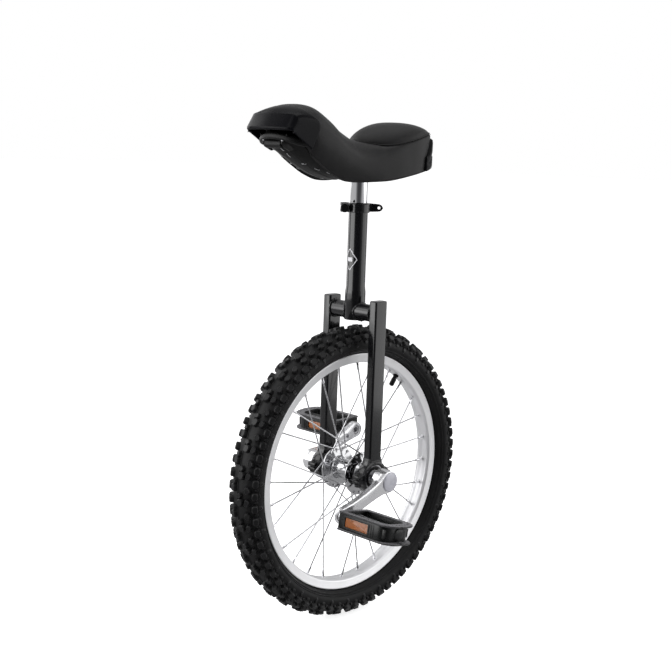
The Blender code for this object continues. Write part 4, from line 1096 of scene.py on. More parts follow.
collar = boolean(lathe(COLLAR, 96, axis="Z"),
                 [slab(EARS, 622.6, 635.3, "Z", bevel=0.9, segments=3)], "UNION")
collar = boolean(collar, [slab(box(8, 40, -1.3, 1.3), 615, 645, "Z")])
place("seat_collar", move(collar, clamp_turn), PAINT, "frame",
      "seat_clamp_collar", 35.0)

rod = join([lathe(ROD, 20, closed=False), lathe(PIVOT, 24, (0, PIN_Y, 0), "Z", closed=False)])
place("quick_release_axle", move(rod, to_rod), ZINC, "frame", "quick_release_rod")


def knurl(i, angle):
    """Twelve shallow flutes round the nut's rim."""
    return 1 - 0.05 * (0.5 + 0.5 * math.cos(angle * 12)) if 2 <= i <= 6 else 1.0


nut = move(lathe(NUT, 48, closed=False, shape=knurl), shift((0, 14.2, 0)))
place("quick_release_thumb_nut", move(nut, to_rod), BLACK, "quick_release_nut",
      "quick_release_nut")


def lever_blade():
    """Bowed blade running towards -X, with a rounded tip."""
    rings = []
    for i in range(27):
        t = i / 26
        x = -3.5 - (57.5 - 3.5) * t
        bow = PIN_Y - 4.2 - 3.4 * math.sin(math.pi * t) + 2.0 * t
        half_z = 5.6 + 1.0 * math.sin(math.pi * min(1.0, t * 1.1))
        tip = (t - 0.86) / 0.14
        if tip > 0:
            half_z *= math.sqrt(max(0.02, 1 - tip * tip * 0.98))
        thick = 1.55 * (1.0 if t < 0.97 else 0.75)
        rings.append([(x, bow + thick * across, half_z * rise) for rise, across in BLADE_SECTION])
    return rings_mesh(rings)


cam = slab(circle(7.0, 40, (0, PIN_Y)), -7.0, 7.0, "Z", bevel=0.8, segments=3)
lever = boolean(boolean(cam, [lever_blade()], "UNION"), [
    slab(box(-3.9, 9.0, -24.6, -7.6), -2.9, 2.9, "Z"),
    slab(circle(3.55, 24, (0, PIN_Y)), -9.0, 9.0, "Z"),
    slab(circle(2.2, 24, (-51.5, 0)), -40.0, 0.0, "Y")])
place("quick_release_cam_lever", move(lever, to_rod), PAINT, "quick_release_lever",
      "quick_release_lever", 35.0)

# ----------------------------------------------------------- cranks and pedals
# (distance along the arm, distance across it) of one edge
WAIST = [(9.8, -14.6), (18.0, -11.6), (34.0, -9.9), (56.0, -9.3), (76.0, -9.9), (88.0, -11.4)]
# (radius, distance from the wheel's middle plane)
CRANK_BOSS = [(8.0, 65.8), (16.0, 65.8), (16.9, 66.7), (17.0, 74.0), (16.4, 78.2), (8.0, 78.2)]
DUST_CAP = [(0, 89.7), (6.0, 89.75), (11.6, 89.6), (12.2, 89.45), (12.5, 89.6), (13.4, 89.3),
            (14.2, 88.6), (14.5, 87.6), (14.5, 85.2), (14.2, 84.9), (0, 84.9)]
SPINDLE = [(0, 83.0), (3.9, 83.0), (4.0, 78.4), (4.6, 77.7), (6.2, 77.6), (6.8, 78.2),
           (6.8, 87.9), (8.6, 87.9), (9.0, 88.3), (9.0, 90.7), (8.6, 91.1), (7.0, 91.6),
           (6.2, 100.0), (4.6, 120.0), (4.6, 185.5), (4.2, 186.0), (0, 186.0)]
BARREL = [(7.0, 101.8), (9.2, 101.8), (9.8, 102.4), (9.9, 118.0), (9.0, 122.0), (8.6, 150.0),
          (9.0, 180.0), (9.6, 184.0), (9.6, 191.6), (8.6, 193.4), (6.0, 194.2), (0, 194.3),
          (0, 187.0), (7.0, 187.0)]
LENS_Y = 138.0


def crank_outline():
    waist = [tuple(point) for point in spline(WAIST, 5)[1:]]
    return (arc(16.6, 62, 298, 24) + waist + arc(12.6, -112, 112, 20, CRANK_L)
            + [(x, -z) for x, z in reversed(waist)])


def crank(side, tag):
    arm = slab(at_hub(crank_outline()), *outward(side, 76.8, 87.6), "Y", bevel=1.5, segments=4)
    arm = boolean(arm, [lathe(facing(side, CRANK_BOSS), 72, HUB)], "UNION")
    # long shallow flute in the back of the arm
    flute = arc(5.0, 90, 270, 12, 28.0) + arc(4.2, -90, 90, 12, 76.0)
    arm = boolean(arm, [
        lathe(facing(side, [(0, 84.5), (14.9, 84.5), (14.9, 90.0), (0, 90.0)]), 56, HUB,
              closed=False),
        lathe(facing(side, [(0, 77.8), (11.5, 77.8), (11.5, 90.0), (0, 90.0)]), 48, HUB,
              closed=False),
        slab(at_hub(rect(6.5, 6.5, 1.5, 3)), *outward(side, 60.0, 80.0), "Y"),
        slab(circle(7.3, 40, (CRANK_L, HUB_Z)), *outward(side, 60.0, 100.0), "Y"),
        slab(at_hub(flute), *outward(side, 70.0, 79.6), "Y")])
    move(arm, spin(CRANK_ANGLE + (0 if side > 0 else 180), "Y", HUB))
    place(f"crank_arm_{tag}", arm, CRANK_METAL, "wheel", f"crank_{tag}", 33.0)
    dress(f"crank_bolt_{tag}", ZINC)
    place(f"dust_cap_disc_{tag}", lathe(facing(side, DUST_CAP), 72, HUB, closed=False), CAP_GREY,
          "wheel", f"dust_cap_{tag}")


def pedal_line(side, half_x, inner, outer, corner_in, corner_out):
    """Pedal outline from y = inner to outer, with its own corner radius at each."""
    points = []
    quarters = ((1, 1), (-1, 1), (-1, -1), (1, -1))
    for quarter, (sign_x, sign_y) in enumerate(quarters):
        edge, corner = (outer, corner_out) if sign_y > 0 else (inner, corner_in)
        for i in range(9):
            angle = math.radians(90 * quarter + 90 * i / 8)
            points.append((sign_x * (half_x - corner) + corner * math.cos(angle),
                           side * (edge - sign_y * corner + corner * math.sin(angle))))
    return points if side > 0 else points[::-1]


def hoop(outer, inner, low, high, bevel, segments=2):
    """Flat ring between two outlines that have the same number of points."""
    rings = [[(x, y, z) for x, y in line]
             for line, z in ((outer, low), (outer, high), (inner, high), (inner, low))]
    return bevel_edges(rings_mesh(rings, closed=True), bevel, segments)


def lens_surround(side, sign):
    """Raised frame round one reflector, and the two bars outboard of it."""
    edge = rect(24.6, 8.8, 2.6, 5, (LENS_Y, 0.0))
    inner = rect(22.4, 6.8, 1.8, 5, (LENS_Y, 0.0))
    rings = [[(sign * x, side * y, z) for y, z in line]
             for line, x in ((edge, 28.6), (edge, 29.9), (inner, 29.9), (inner, 27.6))]
    bars = [slab(box(sign * 28.4, sign * 29.7, side * (y - 0.7), side * (y + 0.7)), -9.0, 9.0,
                 "Z", bevel=0.25) for y in (166.5, 170.5)]
    return [bevel_edges(rings_mesh(rings, closed=True), 0.35)] + bars


def pedal_shell(side, tag, tilt):
    shell = hoop(pedal_line(side, 29.0, 101.5, 192.0, 3.0, 20.0),
                 pedal_line(side, 24.6, 106.5, 187.0, 2.0, 15.0), -10.7, 10.7, 0.7)
    pockets = [slab(box(sign * 26.2, sign * 33.0, side * 114.4, side * 161.6), -7.6, 7.6, "Z")
               for sign in (1, -1)]
    parts = [boolean(shell, pockets)] + lens_surround(side, 1) + lens_surround(side, -1)
    parts.append(lathe(facing(side, BARREL), 48))
    for y in (112.5, 158.0):
        parts.append(slab(box(-25.5, 25.5, side * (y - 1.2), side * (y + 1.2)), -6.5, 6.5, "Z",
                          bevel=0.4))
    for sign in (1, -1):
        gusset = [(sign * 8.0, -3.2), (sign * 8.0, 3.2), (sign * 25.0, 6.4), (sign * 25.0, -6.4)]
        parts.append(slab(gusset, *outward(side, 184.2, 187.4), "Y", bevel=0.4))
    shell = join(parts)
    bmesh.ops.remove_doubles(shell, verts=shell.verts, dist=1e-6)
    place(f"pedal_shell_{tag}", move(shell, tilt), PEDAL_BLACK, f"{tag}_pedal",
          f"pedal_body_{tag}", 33.0)


def stud_places(outer, inner):
    """Points spaced along the middle of a grip plate's rim."""
    middles = [Vector(((a[0] + b[0]) / 2, (a[1] + b[1]) / 2)) for a, b in zip(outer, inner)]
    dense = []
    for one, two in zip(middles, middles[1:] + middles[:1]):
        parts = max(1, int((two - one).length / 4.6))
        dense += [one.lerp(two, i / parts) for i in range(parts)]
    chosen = []
    for point in dense:
        if not chosen or (point - chosen[-1]).length >= 4.2:
            chosen.append(point)
    return chosen


def grip_plate(side, sign, reach, half_width):
    """Plate above (sign 1) or below the shell, with studs and a horn at its outer end."""
    outer = pedal_line(side, 30.0, 101.0, 201.5, 3.0, 21.0)
    inner = pedal_line(side, 22.2, 108.0, 186.0, 3.0, 14.0)
    parts = [hoop(outer, inner, *outward(sign, 11.0, 13.7), 0.8, 3)]
    for point in stud_places(outer, inner):
        stud = lathe([(0, 13.5), (1.5, 13.5), (1.35, 14.0), (0.7, 14.5), (0, 14.6)], 8,
                     (point.x, point.y, 0), "Z", closed=False)
        parts.append(move(stud, Matrix.Diagonal((1, 1, sign, 1))))
    horn = [(-half_width, 196.0), (half_width, 196.0), (half_width * 0.8, reach - 1.0),
            (half_width * 0.5, reach), (-half_width * 0.5, reach),
            (-half_width * 0.8, reach - 1.0)]
    parts.append(slab(facing(side, horn), *outward(sign, 8.6, 13.6), "Z", bevel=0.8))
    return join(parts)


def pedal(side, tag):
    drop = math.radians(CRANK_ANGLE)
    eye = Vector((side * CRANK_L * math.cos(drop), 0.0, HUB_Z - side * CRANK_L * math.sin(drop)))
    place(f"pedal_axle_{tag}", lathe(facing(side, SPINDLE), 40, eye, closed=False), STEEL,
          "wheel", f"pedal_spindle_{tag}")
    tilt = shift(eye) @ Matrix.Rotation(math.radians(PEDAL_TILT[tag]), 4, "Y")
    body = f"{tag}_pedal"
    pedal_shell(side, tag, tilt)
    for sign, end in ENDS:
        lens = slab(rect(22.1, 6.5, 1.6, 4, (side * LENS_Y, 0.0)), *outward(sign, 26.6, 28.5),
                    "X", bevel=0.35)
        place(f"amber_lens_{tag}_{end}", move(lens, tilt), AMBER, body,
              f"pedal_reflector_{tag}_{end}")
    for sign, end, reach, half_width in ((1, "top", 203.2, 6.5), (-1, "bottom", 202.2, 4.0)):
        plate = move(grip_plate(side, sign, reach, half_width), tilt)
        place(f"grip_plate_{tag}_{end}", plate, GRIP, body,
              f"pedal_plate_{tag}_{end}", 33.0)


for side, tag in SIDES:
    crank(side, tag)
    pedal(side, tag)

# --------------------------------------------------------------- the seat post
BOLT_X, BOLT_Y = 38.0, 17.0
# (radius, z)
POST = [(12.7, 500.6), (12.7, 672.0), (13.2, 673.4), (14.6, 674.8), (15.2, 675.4), (11.0, 675.4),
        (11.1, 500.6), (11.6, 500.0), (12.3, 500.0)]
place("seat_post_chromed", lathe(POST, 96, axis="Z"), CHROME, "saddle",
      "seat_post", 40.0)
plate = boolean(slab(rect(52.0, 27.0, 8.0, 8), 675.5, 678.5, "Z", bevel=0.7, segments=3),
                [slab(circle(3.6, 24, (x, y)), 660, 690, "Z")
                 for x in (BOLT_X, -BOLT_X) for y in (BOLT_Y, -BOLT_Y)])
place("post_top_plate", plate, DARK_STEEL, "saddle", "post_plate", 35.0)
for sign, end in ENDS:
    for side, tag in SIDES:
        x, y = sign * BOLT_X, side * BOLT_Y
        head = slab(circle(5.8, 6, (x, y)), 669.7, 674.0, "Z", bevel=0.5, angle=20)
        washer = lathe([(3.2, 674.0), (6.9, 674.0), (7.1, 674.3), (7.1, 675.1), (3.2, 675.2)],
                       32, (x, y, 0), "Z")
        shank = lathe([(0, 674.0), (3.0, 674.0), (3.0, 684.2), (2.6, 684.6), (0, 684.6)], 16,
                      (x, y, 0), "Z", closed=False)
        name = f"saddle_bolt_{end}_{tag}"
        place(f"{name}_hex", join([head, washer, shank]), ZINC, "saddle", name)

# ------------------------------------------------------------------ the saddle
# tables of (x, value): half width, top line, sewn line's z, hem's z, and how far
# the shoulder lies below the top
HALF = [(-64.0, 53.0), (-38.0, 52.5), (-12.0, 50.0), (12.0, 47.5), (33.0, 46.0), (52.0, 45.5),
        (72.0, 46.0), (95.0, 47.0), (116.0, 47.6), (128.0, 47.2), (138.0, 45.4), (152.0, 44.0),
        (164.0, 42.0)]
TOP = [(-6.0, 723.8), (3.0, 724.6), (12.0, 725.4), (22.0, 727.0), (33.0, 729.6), (45.0, 734.6),
       (52.0, 738.8), (72.0, 750.8), (86.0, 761.0), (100.0, 769.0), (116.0, 774.2),
       (128.0, 776.2), (138.0, 776.7), (150.0, 774.9), (160.0, 771.6), (164.0, 769.8)]
SEAM_Z = [(-131.0, 744.5), (-110.0, 743.4), (-92.0, 740.2), (-76.0, 736.2), (-56.0, 731.0),
          (-30.0, 725.4), (-12.0, 723.4), (3.0, 724.6), (12.0, 725.4)]
HEM_Z = [(-131.0, 692.5), (-120.0, 690.5), (-106.0, 688.5), (-89.0, 686.0), (-60.0, 680.2),
         (-38.0, 676.0), (-17.0, 672.6), (12.0, 670.6), (35.0, 669.6), (52.0, 669.9),
         (65.0, 671.6), (77.0, 675.4), (90.0, 680.9), (103.0, 688.2), (116.0, 696.2),
         (129.0, 705.2), (138.0, 716.0), (150.0, 728.0), (164.0, 742.0)]
SHOULDER_DROP = [(-131.0, 5.0), (-64.0, 7.0), (-30.0, 13.0), (-6.0, 20.0), (10.0, 25.0),
                 (33.0, 29.5), (60.0, 33.0), (95.0, 35.0), (128.0, 34.0), (150.0, 28.0),
                 (164.0, 22.0)]
# the raised pad is an oval about PAD_X with these half lengths and half width
PAD_X, PAD_FORE, PAD_AFT, PAD_HALF = -64.0, 77.0, 64.6, 49.2
COVER_INSET = 1.5  # room left for the cover and the pad to swell
PAD_INSET = 1.2


def ease(start, end, x):
    t = min(1.0, max(0.0, (x - start) / (end - start)))
    return t * t * (3 - 2 * t)


def pad_length(x):
    return PAD_FORE if x > PAD_X else PAD_AFT


def pad_radius(x, y):
    """1 on the sewn line, less inside it."""
    return math.hypot((x - PAD_X) / pad_length(x), y / PAD_HALF)


def seam_y(x):
    t = (x - PAD_X) / pad_length(x)
    return PAD_HALF * math.sqrt(max(0.0, 1 - t * t))


def hem_share(x):
    """Where the hem sits, as a share of the half width."""
    return 0.955 - 0.235 * ease(-10.0, 75.0, x)


def roundness(x):
    """Power of the curve over the shoulder."""
    if x < 20.0:
        return 2.15 - 0.4 * ease(-60.0, 15.0, x)
    return 1.75 + 0.95 * ease(95.0, 138.0, x)


def half_at(x):
    if x < PAD_X:
        return 53.0 * (1 - min(1.0, (PAD_X - x) / 66.2) ** 2.15) ** (1 / 2.15)
    return table(HALF, x)


def cover_section(x):
    """(y, z) of the left half of the cover, from the hem up to the middle."""
    half = max(0.5, half_at(x) - COVER_INSET)
    hem = table(HEM_Z, x)
    top = table(SEAM_Z if x < 3.0 else TOP, x) - COVER_INSET
    seam = min(seam_y(x), half - 0.4)
    # level part between the shoulders; it narrows slowly in front of the pad
    level = max(seam, 36.0 * (1.0 - ease(-20.0, 75.0, x)) if x > -20.0 else 0.0)
    shoulder = top - table(SHOULDER_DROP, x)
    share = hem_share(x)
    points = [(half * (share - 0.10), hem + 3.6), (half * (share - 0.045), hem + 0.6),
              (half * (share - 0.012), hem - 0.6), (half * (share + 0.008), hem - 0.2)]
    for i in range(1, 17):
        t = i / 16
        swell = math.sin(math.pi / 2 * min(1.0, t / 0.9)) ** 0.85
        points.append((half * (share + 0.012 + (0.988 - share) * swell),
                       hem + (shoulder - hem) * t))
    power = roundness(x)
    wide = points[-1][0]
    for i in range(1, 27):
        y = wide * max(0.0, math.cos(math.pi / 2 * i / 26)) ** 0.92
        if y <= level:
            z = top - (1.4 * min(1.0, (seam - y) / 3.0) if y < seam else 0.0)
        else:
            u = (y - level) / max(1e-6, wide - level)
            z = shoulder + (top - shoulder) * max(0.0, 1 - u ** power) ** (1 / power)
        points.append((max(0.0, y) if i < 26 else 0.0, z))
    return points


stations = [PAD_X - 66.0 * math.sin(math.pi / 2 * (26 - i) / 26) for i in range(27)]
x = PAD_X + 2.6
while x < 163.0:
    stations.append(x)
    x += 2.6
stations.append(164.0)


def cover_mesh():
    mesh = bmesh.new()
    rows = []
    for x in stations:
        half = cover_section(x)
        rows.append(new_verts(mesh, [(x, y, z) for y, z in half]
                              + [(x, -y, z) for y, z in reversed(half[:-1])]))
    count = len(rows[0])
    for one, two in zip(rows, rows[1:]):
        for i in range(count - 1):
            mesh.faces.new((one[i], two[i], two[i + 1], one[i + 1]))
    # the tail closes across its first, very narrow section
    first = rows[0]
    for i in range(count // 2):
        j = count - 1 - i
        add_face(mesh, first[i], first[i + 1], first[j - 1], first[j])
    return fix_normals(mesh)


def pad_point(theta, rho):
    """Point of the pad at angle theta; rho is 0 in the middle and 1 on the sewn line."""
    c, s = math.cos(theta), math.sin(theta)
    length = PAD_FORE if c > 0 else PAD_AFT
    x = PAD_X + length * c * rho
    edge = table(SEAM_Z, PAD_X + length * c)
    apex = 758.3 - 0.0011 * (x + 72.0) ** 2
    fore = max(0.0, c)
    rise = max(0.0, 1 - rho ** (2.6 + 0.1 * fore)) ** (0.55 + 0.06 * fore)
    return Vector((x, PAD_HALF * s * rho, edge * (1 - rise) + apex * rise))


def pad_mesh():
    mesh = bmesh.new()
    around, out = 120, 30
    sink = Vector((0, 0, PAD_INSET))
    angles = [2 * math.pi * k / around for k in range(around)]
    rows = [[pad_point(angle, math.sin(math.pi / 2 * (i / out)) ** 0.9) - sink
             for angle in angles] for i in range(1, out + 1)]
    edge = [pad_point(angle, 1.0) for angle in angles]
    rows.append([Vector((PAD_X + (p.x - PAD_X) * 0.975, p.y * 0.975, p.z - 3.4)) for p in edge])
    tip = new_verts(mesh, [pad_point(0, 0.0) - sink])[0]
    made = [new_verts(mesh, row) for row in rows]
    for k in range(around):
        mesh.faces.new((tip, made[0][k], made[0][(k + 1) % around]))
    for one, two in zip(made, made[1:]):
        for k in range(around):
            j = (k + 1) % around
            mesh.faces.new((one[k], two[k], two[j], one[j]))
    return fix_normals(mesh)


def cover_sewn(x, y, z):
    near_hem = z < table(HEM_Z, x) + 3.0
    under_pad = x < 10.0 and abs(y) < seam_y(x) + 0.8
    return near_hem or under_pad or x > 150.0 or x < -129.0


def pad_sewn(x, y, _):
    return pad_radius(x, y) > 0.965


def inflate(obj, sewn, travel):
    """Blows obj out from its sewn vertices as cloth, by at most travel."""
    rest = np.array([vert.co for vert in obj.data.vertices])
    group = obj.vertex_groups.new(name="sewn")
    for i, vert in enumerate(obj.data.vertices):
        if sewn(*(vert.co / MM)):
            group.add([i], 1.0, "REPLACE")
    cloth = obj.modifiers.new("Cloth", "CLOTH")
    settings = cloth.settings
    settings.quality = 6
    settings.mass = 0.4
    settings.tension_stiffness = 40
    settings.compression_stiffness = 40
    settings.shear_stiffness = 20
    settings.bending_stiffness = 6
    settings.use_pressure = True
    settings.uniform_pressure_force = 2.2
    settings.vertex_group_mass = "sewn"
    settings.effector_weights.gravity = 0.0
    cloth.collision_settings.use_collision = False
    last_frame = 20
    cloth.point_cache.frame_start = 1
    cloth.point_cache.frame_end = last_frame
    for number in range(1, last_frame + 1):
        SCENE.frame_set(number)
    graph = bpy.context.evaluated_depsgraph_get()
    shaped = obj.evaluated_get(graph).to_mesh()
    now = np.array([vert.co for vert in shaped.vertices])
    obj.evaluated_get(graph).to_mesh_clear()
    obj.modifiers.remove(cloth)
    SCENE.frame_set(1)
    step = now - rest
    size = np.linalg.norm(step, axis=1, keepdims=True)
    step *= np.minimum(1.0, travel * MM / np.maximum(size, 1e-9))
    obj.data.vertices.foreach_set("co", (rest + step).astype(np.float32).ravel())
    obj.data.update()


def crease(obj):
    """Pulls the cover down along the sewn line."""
    for vert in obj.data.vertices:
        x, y, _ = vert.co / MM
        gap = (pad_radius(x, y) - 1.0) * 56.0
        if -8 < gap < 8 and x < 12.0:
            vert.co.z -= 0.7 * math.exp(-(gap / 2.2) ** 2) * MM
    obj.data.update()


cover = place("saddle_cover", cover_mesh(), VINYL, "saddle", "seat_cushion",
              sharp=None, ride=False)
pad = place("saddle_pad", pad_mesh(), VINYL, "saddle", sharp=None, ride=False)
inflate(cover, cover_sewn, travel=2.6)
inflate(pad, pad_sewn, travel=2.4)
crease(cover)
for obj in (cover, pad):
    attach(obj, "saddle")
    smooth = obj.modifiers.new("smooth", "SUBSURF")
    smooth.levels = smooth.render_levels = 1


def from_pad(point):
    """Level direction away from the pad's middle."""
    return Vector((point.x - PAD_X, point.y * 1.3, 0)).normalized()


# welt cord and its stitches along the seam
SEAM_STEPS = 240
STITCH_PITCH = 3.4
seam_line = []
for k in range(SEAM_STEPS):
    point = pad_point(2 * math.pi * k / SEAM_STEPS, 1.0)
    seam_line.append(point + from_pad(point) * 0.9 + Vector((0, 0, -0.7)))
place("saddle_welt", tube(seam_line, 1.05, closed=True), WELT, "saddle",
      sharp=None)
stitches = []
gone, target = 0.0, 0.0
for one, two in zip(seam_line, seam_line[1:] + seam_line[:1]):
    if gone >= target:
        way = (two - one).normalized()
        out = from_pad(one)
        base = one + out * 1.9 + Vector((0, 0, -1.7 if seam_y(one.x) else -1.0))
        stitches.append(tube([base - way * 1.1 - out * 0.2,
                              base + out * 0.15 + Vector((0, 0, 0.15)),
                              base + way * 1.1 - out * 0.2], [0.22, 0.32, 0.22], 6))
        target += STITCH_PITCH
    gone += (two - one).length
place("saddle_stitches", join(stitches), THREAD, "saddle", sharp=None)

# cord along the lower edge of the cover
for side, tag in SIDES:
    path = [(x, side * (half_at(x) - COVER_INSET) * (hem_share(x) - 0.01), table(HEM_Z, x) - 0.5)
            for x in stations if -129.5 < x < 131.0]
    place(f"saddle_hem_{tag}", tube(path, 1.15, 8), WELT, "saddle", sharp=None)

# --------------------------------------------------------------- the base pan
# (x, z) along the pan's middle and along its edges
KEEL = [(-120.0, 693.0), (-90.0, 688.0), (-64.0, 682.0), (-30.0, 675.5), (0.0, 671.6),
        (30.0, 670.6), (61.0, 671.5), (91.0, 677.3), (120.0, 688.8), (140.0, 699.2),
        (156.0, 707.3), (172.0, 716.8)]
RAIL = [(-120.0, 693.0), (-89.0, 688.5), (-60.0, 682.7), (-17.0, 675.0), (12.0, 673.0),
        (35.0, 673.5), (65.0, 677.0), (90.0, 686.0), (116.0, 698.5), (129.0, 706.5),
        (143.0, 718.0), (162.0, 728.0), (172.0, 733.0)]
PAN_COLUMNS = 31
# (x from, x to, |y| from, |y| to) of the openings
OPENINGS = [(-84, -70, 12, 24), (-108, -96, 8, 18)]
# (x, |y|) of a staple's two ends
STAPLES = [(166.4, 8.7, 160.0, 9.2), (153.6, 8.4, 145.6, 7.0), (127.4, 11.0, 123.6, 16.6),
           (109.4, 18.7, 102.2, 20.9), (90.8, 24.6, 85.0, 25.2), (64.0, 20.4, 56.0, 18.4),
           (38.0, 22.0, 30.0, 22.5)]


def pan_half(x):
    return half_at(min(x, 133.0)) * hem_share(x) - 3.0 - 3.0 * ease(140.0, 172.0, x)


def pan_z(x, y):
    u = min(1.0, abs(y) / max(1.0, pan_half(x)))
    return table(KEEL, x) + (table(RAIL, x) - table(KEEL, x)) * u ** 1.9


def is_open(x, y):
    if abs(x) < 9 and abs(y) < 9:
        return True
    return any(x0 <= x <= x1 and y0 <= abs(y) <= y1 for x0, x1, y0, y1 in OPENINGS)


def pan_mesh():
    rows = []
    for i in range(101):
        x = -119.0 + 2.91 * i
        row = []
        for k in range(PAN_COLUMNS):
            y = max(4.0, pan_half(x)) * (-1 + 2 * k / (PAN_COLUMNS - 1))
            z = pan_z(x, y)
            # raised flat over the post's plate
            if abs(x) < 58 and abs(y) < 31.5:
                z = max(z, 680.0)
            row.append((x, y, z))
        rows.append(row)
    mesh = bmesh.new()
    verts = [new_verts(mesh, row) for row in rows]
    for i in range(len(rows) - 1):
        for k in range(PAN_COLUMNS - 1):
            middle_x = (rows[i][k][0] + rows[i + 1][k][0]) / 2
            middle_y = (rows[i][k][1] + rows[i][k + 1][1]) / 2
            if not is_open(middle_x, middle_y):
                mesh.faces.new((verts[i][k], verts[i][k + 1], verts[i + 1][k + 1],
                                verts[i + 1][k]))
    loose = [vert for vert in mesh.verts if not vert.link_faces]
    bmesh.ops.delete(mesh, geom=loose, context="VERTS")
    return fix_normals(mesh)


pan = place("saddle_base_pan", pan_mesh(), BLACK, "saddle", "seat_base",
            32.0)
wall = pan.modifiers.new("wall", "SOLIDIFY")
wall.thickness = 2.2 * MM
wall.offset = 0.0
edges = pan.modifiers.new("edges", "BEVEL")
edges.width = 0.5 * MM
edges.segments = 2
edges.limit_method = "ANGLE"
edges.angle_limit = math.radians(40)

ribs = []
for y in (13.5, -13.5, 0.0):
    rib_x = [64.0 + 104.0 * i / 25 for i in range(26)]
    top_line = [(x, pan_z(x, y) + 1.0) for x in rib_x]
    low_line = [(x, pan_z(x, y) - 1.5) for x in rib_x]
    ribs.append(slab(top_line + low_line[::-1], y - 0.7, y + 0.7, "Y", bevel=0.3, angle=50))
place("saddle_base_ribs", join(ribs), BLACK, "saddle", sharp=32.0)

staples = []
for side in (1, -1):
    for x0, y0, x1, y1 in STAPLES:
        one = Vector((x0, side * y0, pan_z(x0, y0) - 1.7))
        two = Vector((x1, side * y1, pan_z(x1, y1) - 1.7))
        leg = Vector((0, 0, 2.0))
        staples.append(tube([one + leg, one + (two - one) * 0.02, one + (two - one) * 0.12,
                             two + (one - two) * 0.12, two + (one - two) * 0.02, two + leg],
                            0.55, 8))
place("cover_staples", join(staples), ZINC, "saddle", sharp=60.0)

# ------------------------------------------------------------- the nose bumper
# (y, [(x, z), ...]) columns of the left half, each running from the rear of the
# top over the front edge and down to the lip
NOSE = [
    (0.0, [(158.5, 772.4), (163.5, 770.6), (168.5, 768.2), (173.5, 764.6), (177.8, 760.4),
           (182.6, 753.2), (187.6, 745.8), (189.6, 742.8), (190.0, 740.6), (188.0, 738.6)]),
    (20.0, [(157.0, 771.4), (162.5, 769.6), (167.8, 767.2), (172.8, 763.9), (177.2, 760.2),
            (182.0, 752.8), (187.0, 745.4), (189.0, 742.4), (189.4, 740.2), (187.4, 738.2)]),
    (35.0, [(151.5, 767.8), (158.5, 767.4), (165.0, 765.8), (171.0, 763.2), (175.8, 760.4),
            (180.4, 752.6), (185.2, 745.0), (187.0, 742.0), (187.4, 739.8), (185.6, 737.8)]),
    (43.6, [(141.0, 759.6), (150.0, 761.2), (158.6, 762.0), (166.4, 761.8), (172.8, 760.6),
            (177.4, 752.4), (182.0, 745.0), (183.8, 742.2), (184.2, 740.0), (182.4, 738.0)]),
    (48.4, [(126.0, 750.0), (138.0, 751.8), (150.0, 753.0), (160.6, 753.4), (168.6, 752.8),
            (173.0, 747.8), (177.2, 742.6), (179.0, 740.6), (179.6, 738.8), (178.2, 737.2)]),
    (48.6, [(131.4, 733.0), (140.4, 735.4), (149.6, 738.0), (158.4, 740.2), (165.2, 741.4),
            (170.2, 740.2), (174.4, 738.2), (176.4, 737.2), (177.2, 736.2), (176.4, 735.2)]),
    (47.0, [(142.0, 713.0), (147.0, 716.2), (152.4, 719.8), (157.6, 723.2), (162.4, 726.2),
            (166.6, 728.8), (170.6, 731.2), (173.2, 732.8), (175.0, 733.8), (175.6, 734.0)]),
]
ROW_CREASE = {4: 0.55, 7: 0.6, 9: 0.9, 0: 1.0}  # row number: crease along it


def nose_mesh():
    mesh = bmesh.new()
    columns = [(-y, rows) for y, rows in NOSE[:0:-1]] + NOSE
    grid = [new_verts(mesh, [(x, y, z) for x, z in rows]) for y, rows in columns]
    where = {vert: (c, r) for c, column in enumerate(grid) for r, vert in enumerate(column)}
    layer = mesh.edges.layers.float.new("crease_edge")
    for one, two in zip(grid, grid[1:]):
        for i in range(len(one) - 1):
            mesh.faces.new((one[i], one[i + 1], two[i + 1], two[i]))
    last = len(grid) - 1
    for edge in mesh.edges:
        (column, row), (column_2, row_2) = (where[vert] for vert in edge.verts)
        if row == row_2 and row in ROW_CREASE:
            edge[layer] = ROW_CREASE[row]
        if column == column_2 and column in (4, last - 4) and max(row, row_2) <= 8:
            edge[layer] = 0.08
        if column == column_2 and column in (0, last):
            edge[layer] = 1.0
    return fix_normals(mesh)


nose = place("nose_bumper", nose_mesh(), GLOSS, "saddle", "front_bumper",
             sharp=None)
# an open sheet has no sure outside, so its normals are turned to face up
if sum(face.normal.z for face in nose.data.polygons) < 0:
    nose.data.flip_normals()
smooth = nose.modifiers.new("smooth", "SUBSURF")
smooth.levels = smooth.render_levels = 3
wall = nose.modifiers.new("wall", "SOLIDIFY")
wall.thickness = 2.6 * MM
wall.offset = -1.0

# ------------------------------------------------------------- the grab handle
BOSS = [(0, -17.0), (5.4, -17.0), (6.4, -16.0), (6.4, 16.0), (5.4, 17.0), (0, 17.0)]
CHEEK = [(150.0, 712.0), (158.0, 709.6), (170.0, 715.0), (174.5, 720.0), (172.0, 728.0),
         (158.0, 726.0), (150.0, 722.0)]
rings = []
for i in range(53):
    a = math.radians(-90 + 180 * i / 52)
    c, s = math.cos(a), math.sin(a)
    centre = Vector((147.0 + 28.0 * c, 42.5 * s, 721.5 + 8.8 * c * c))
    out = Vector((c, s * 0.66, 0)).normalized()
    rings.append([centre + out * 3.6 * x
                  + Vector((0, 0, 5.0 * math.copysign(abs(z) ** 0.8, z)))
                  for x, z in circle(1.0, 20)])
place("grab_handle_bar", rings_mesh(rings), BLACK, "saddle",
      "grab_handle", sharp=None)
bosses = [lathe(BOSS, 36, (168.0, 0.0, 719.5), closed=False)]
bosses += [slab(CHEEK, y - 1.6, y + 1.6, "Y", bevel=0.6) for y in (19.5, -19.5)]
place("nose_bosses", join(bosses), BLACK, "saddle", sharp=32.0)
screws = []
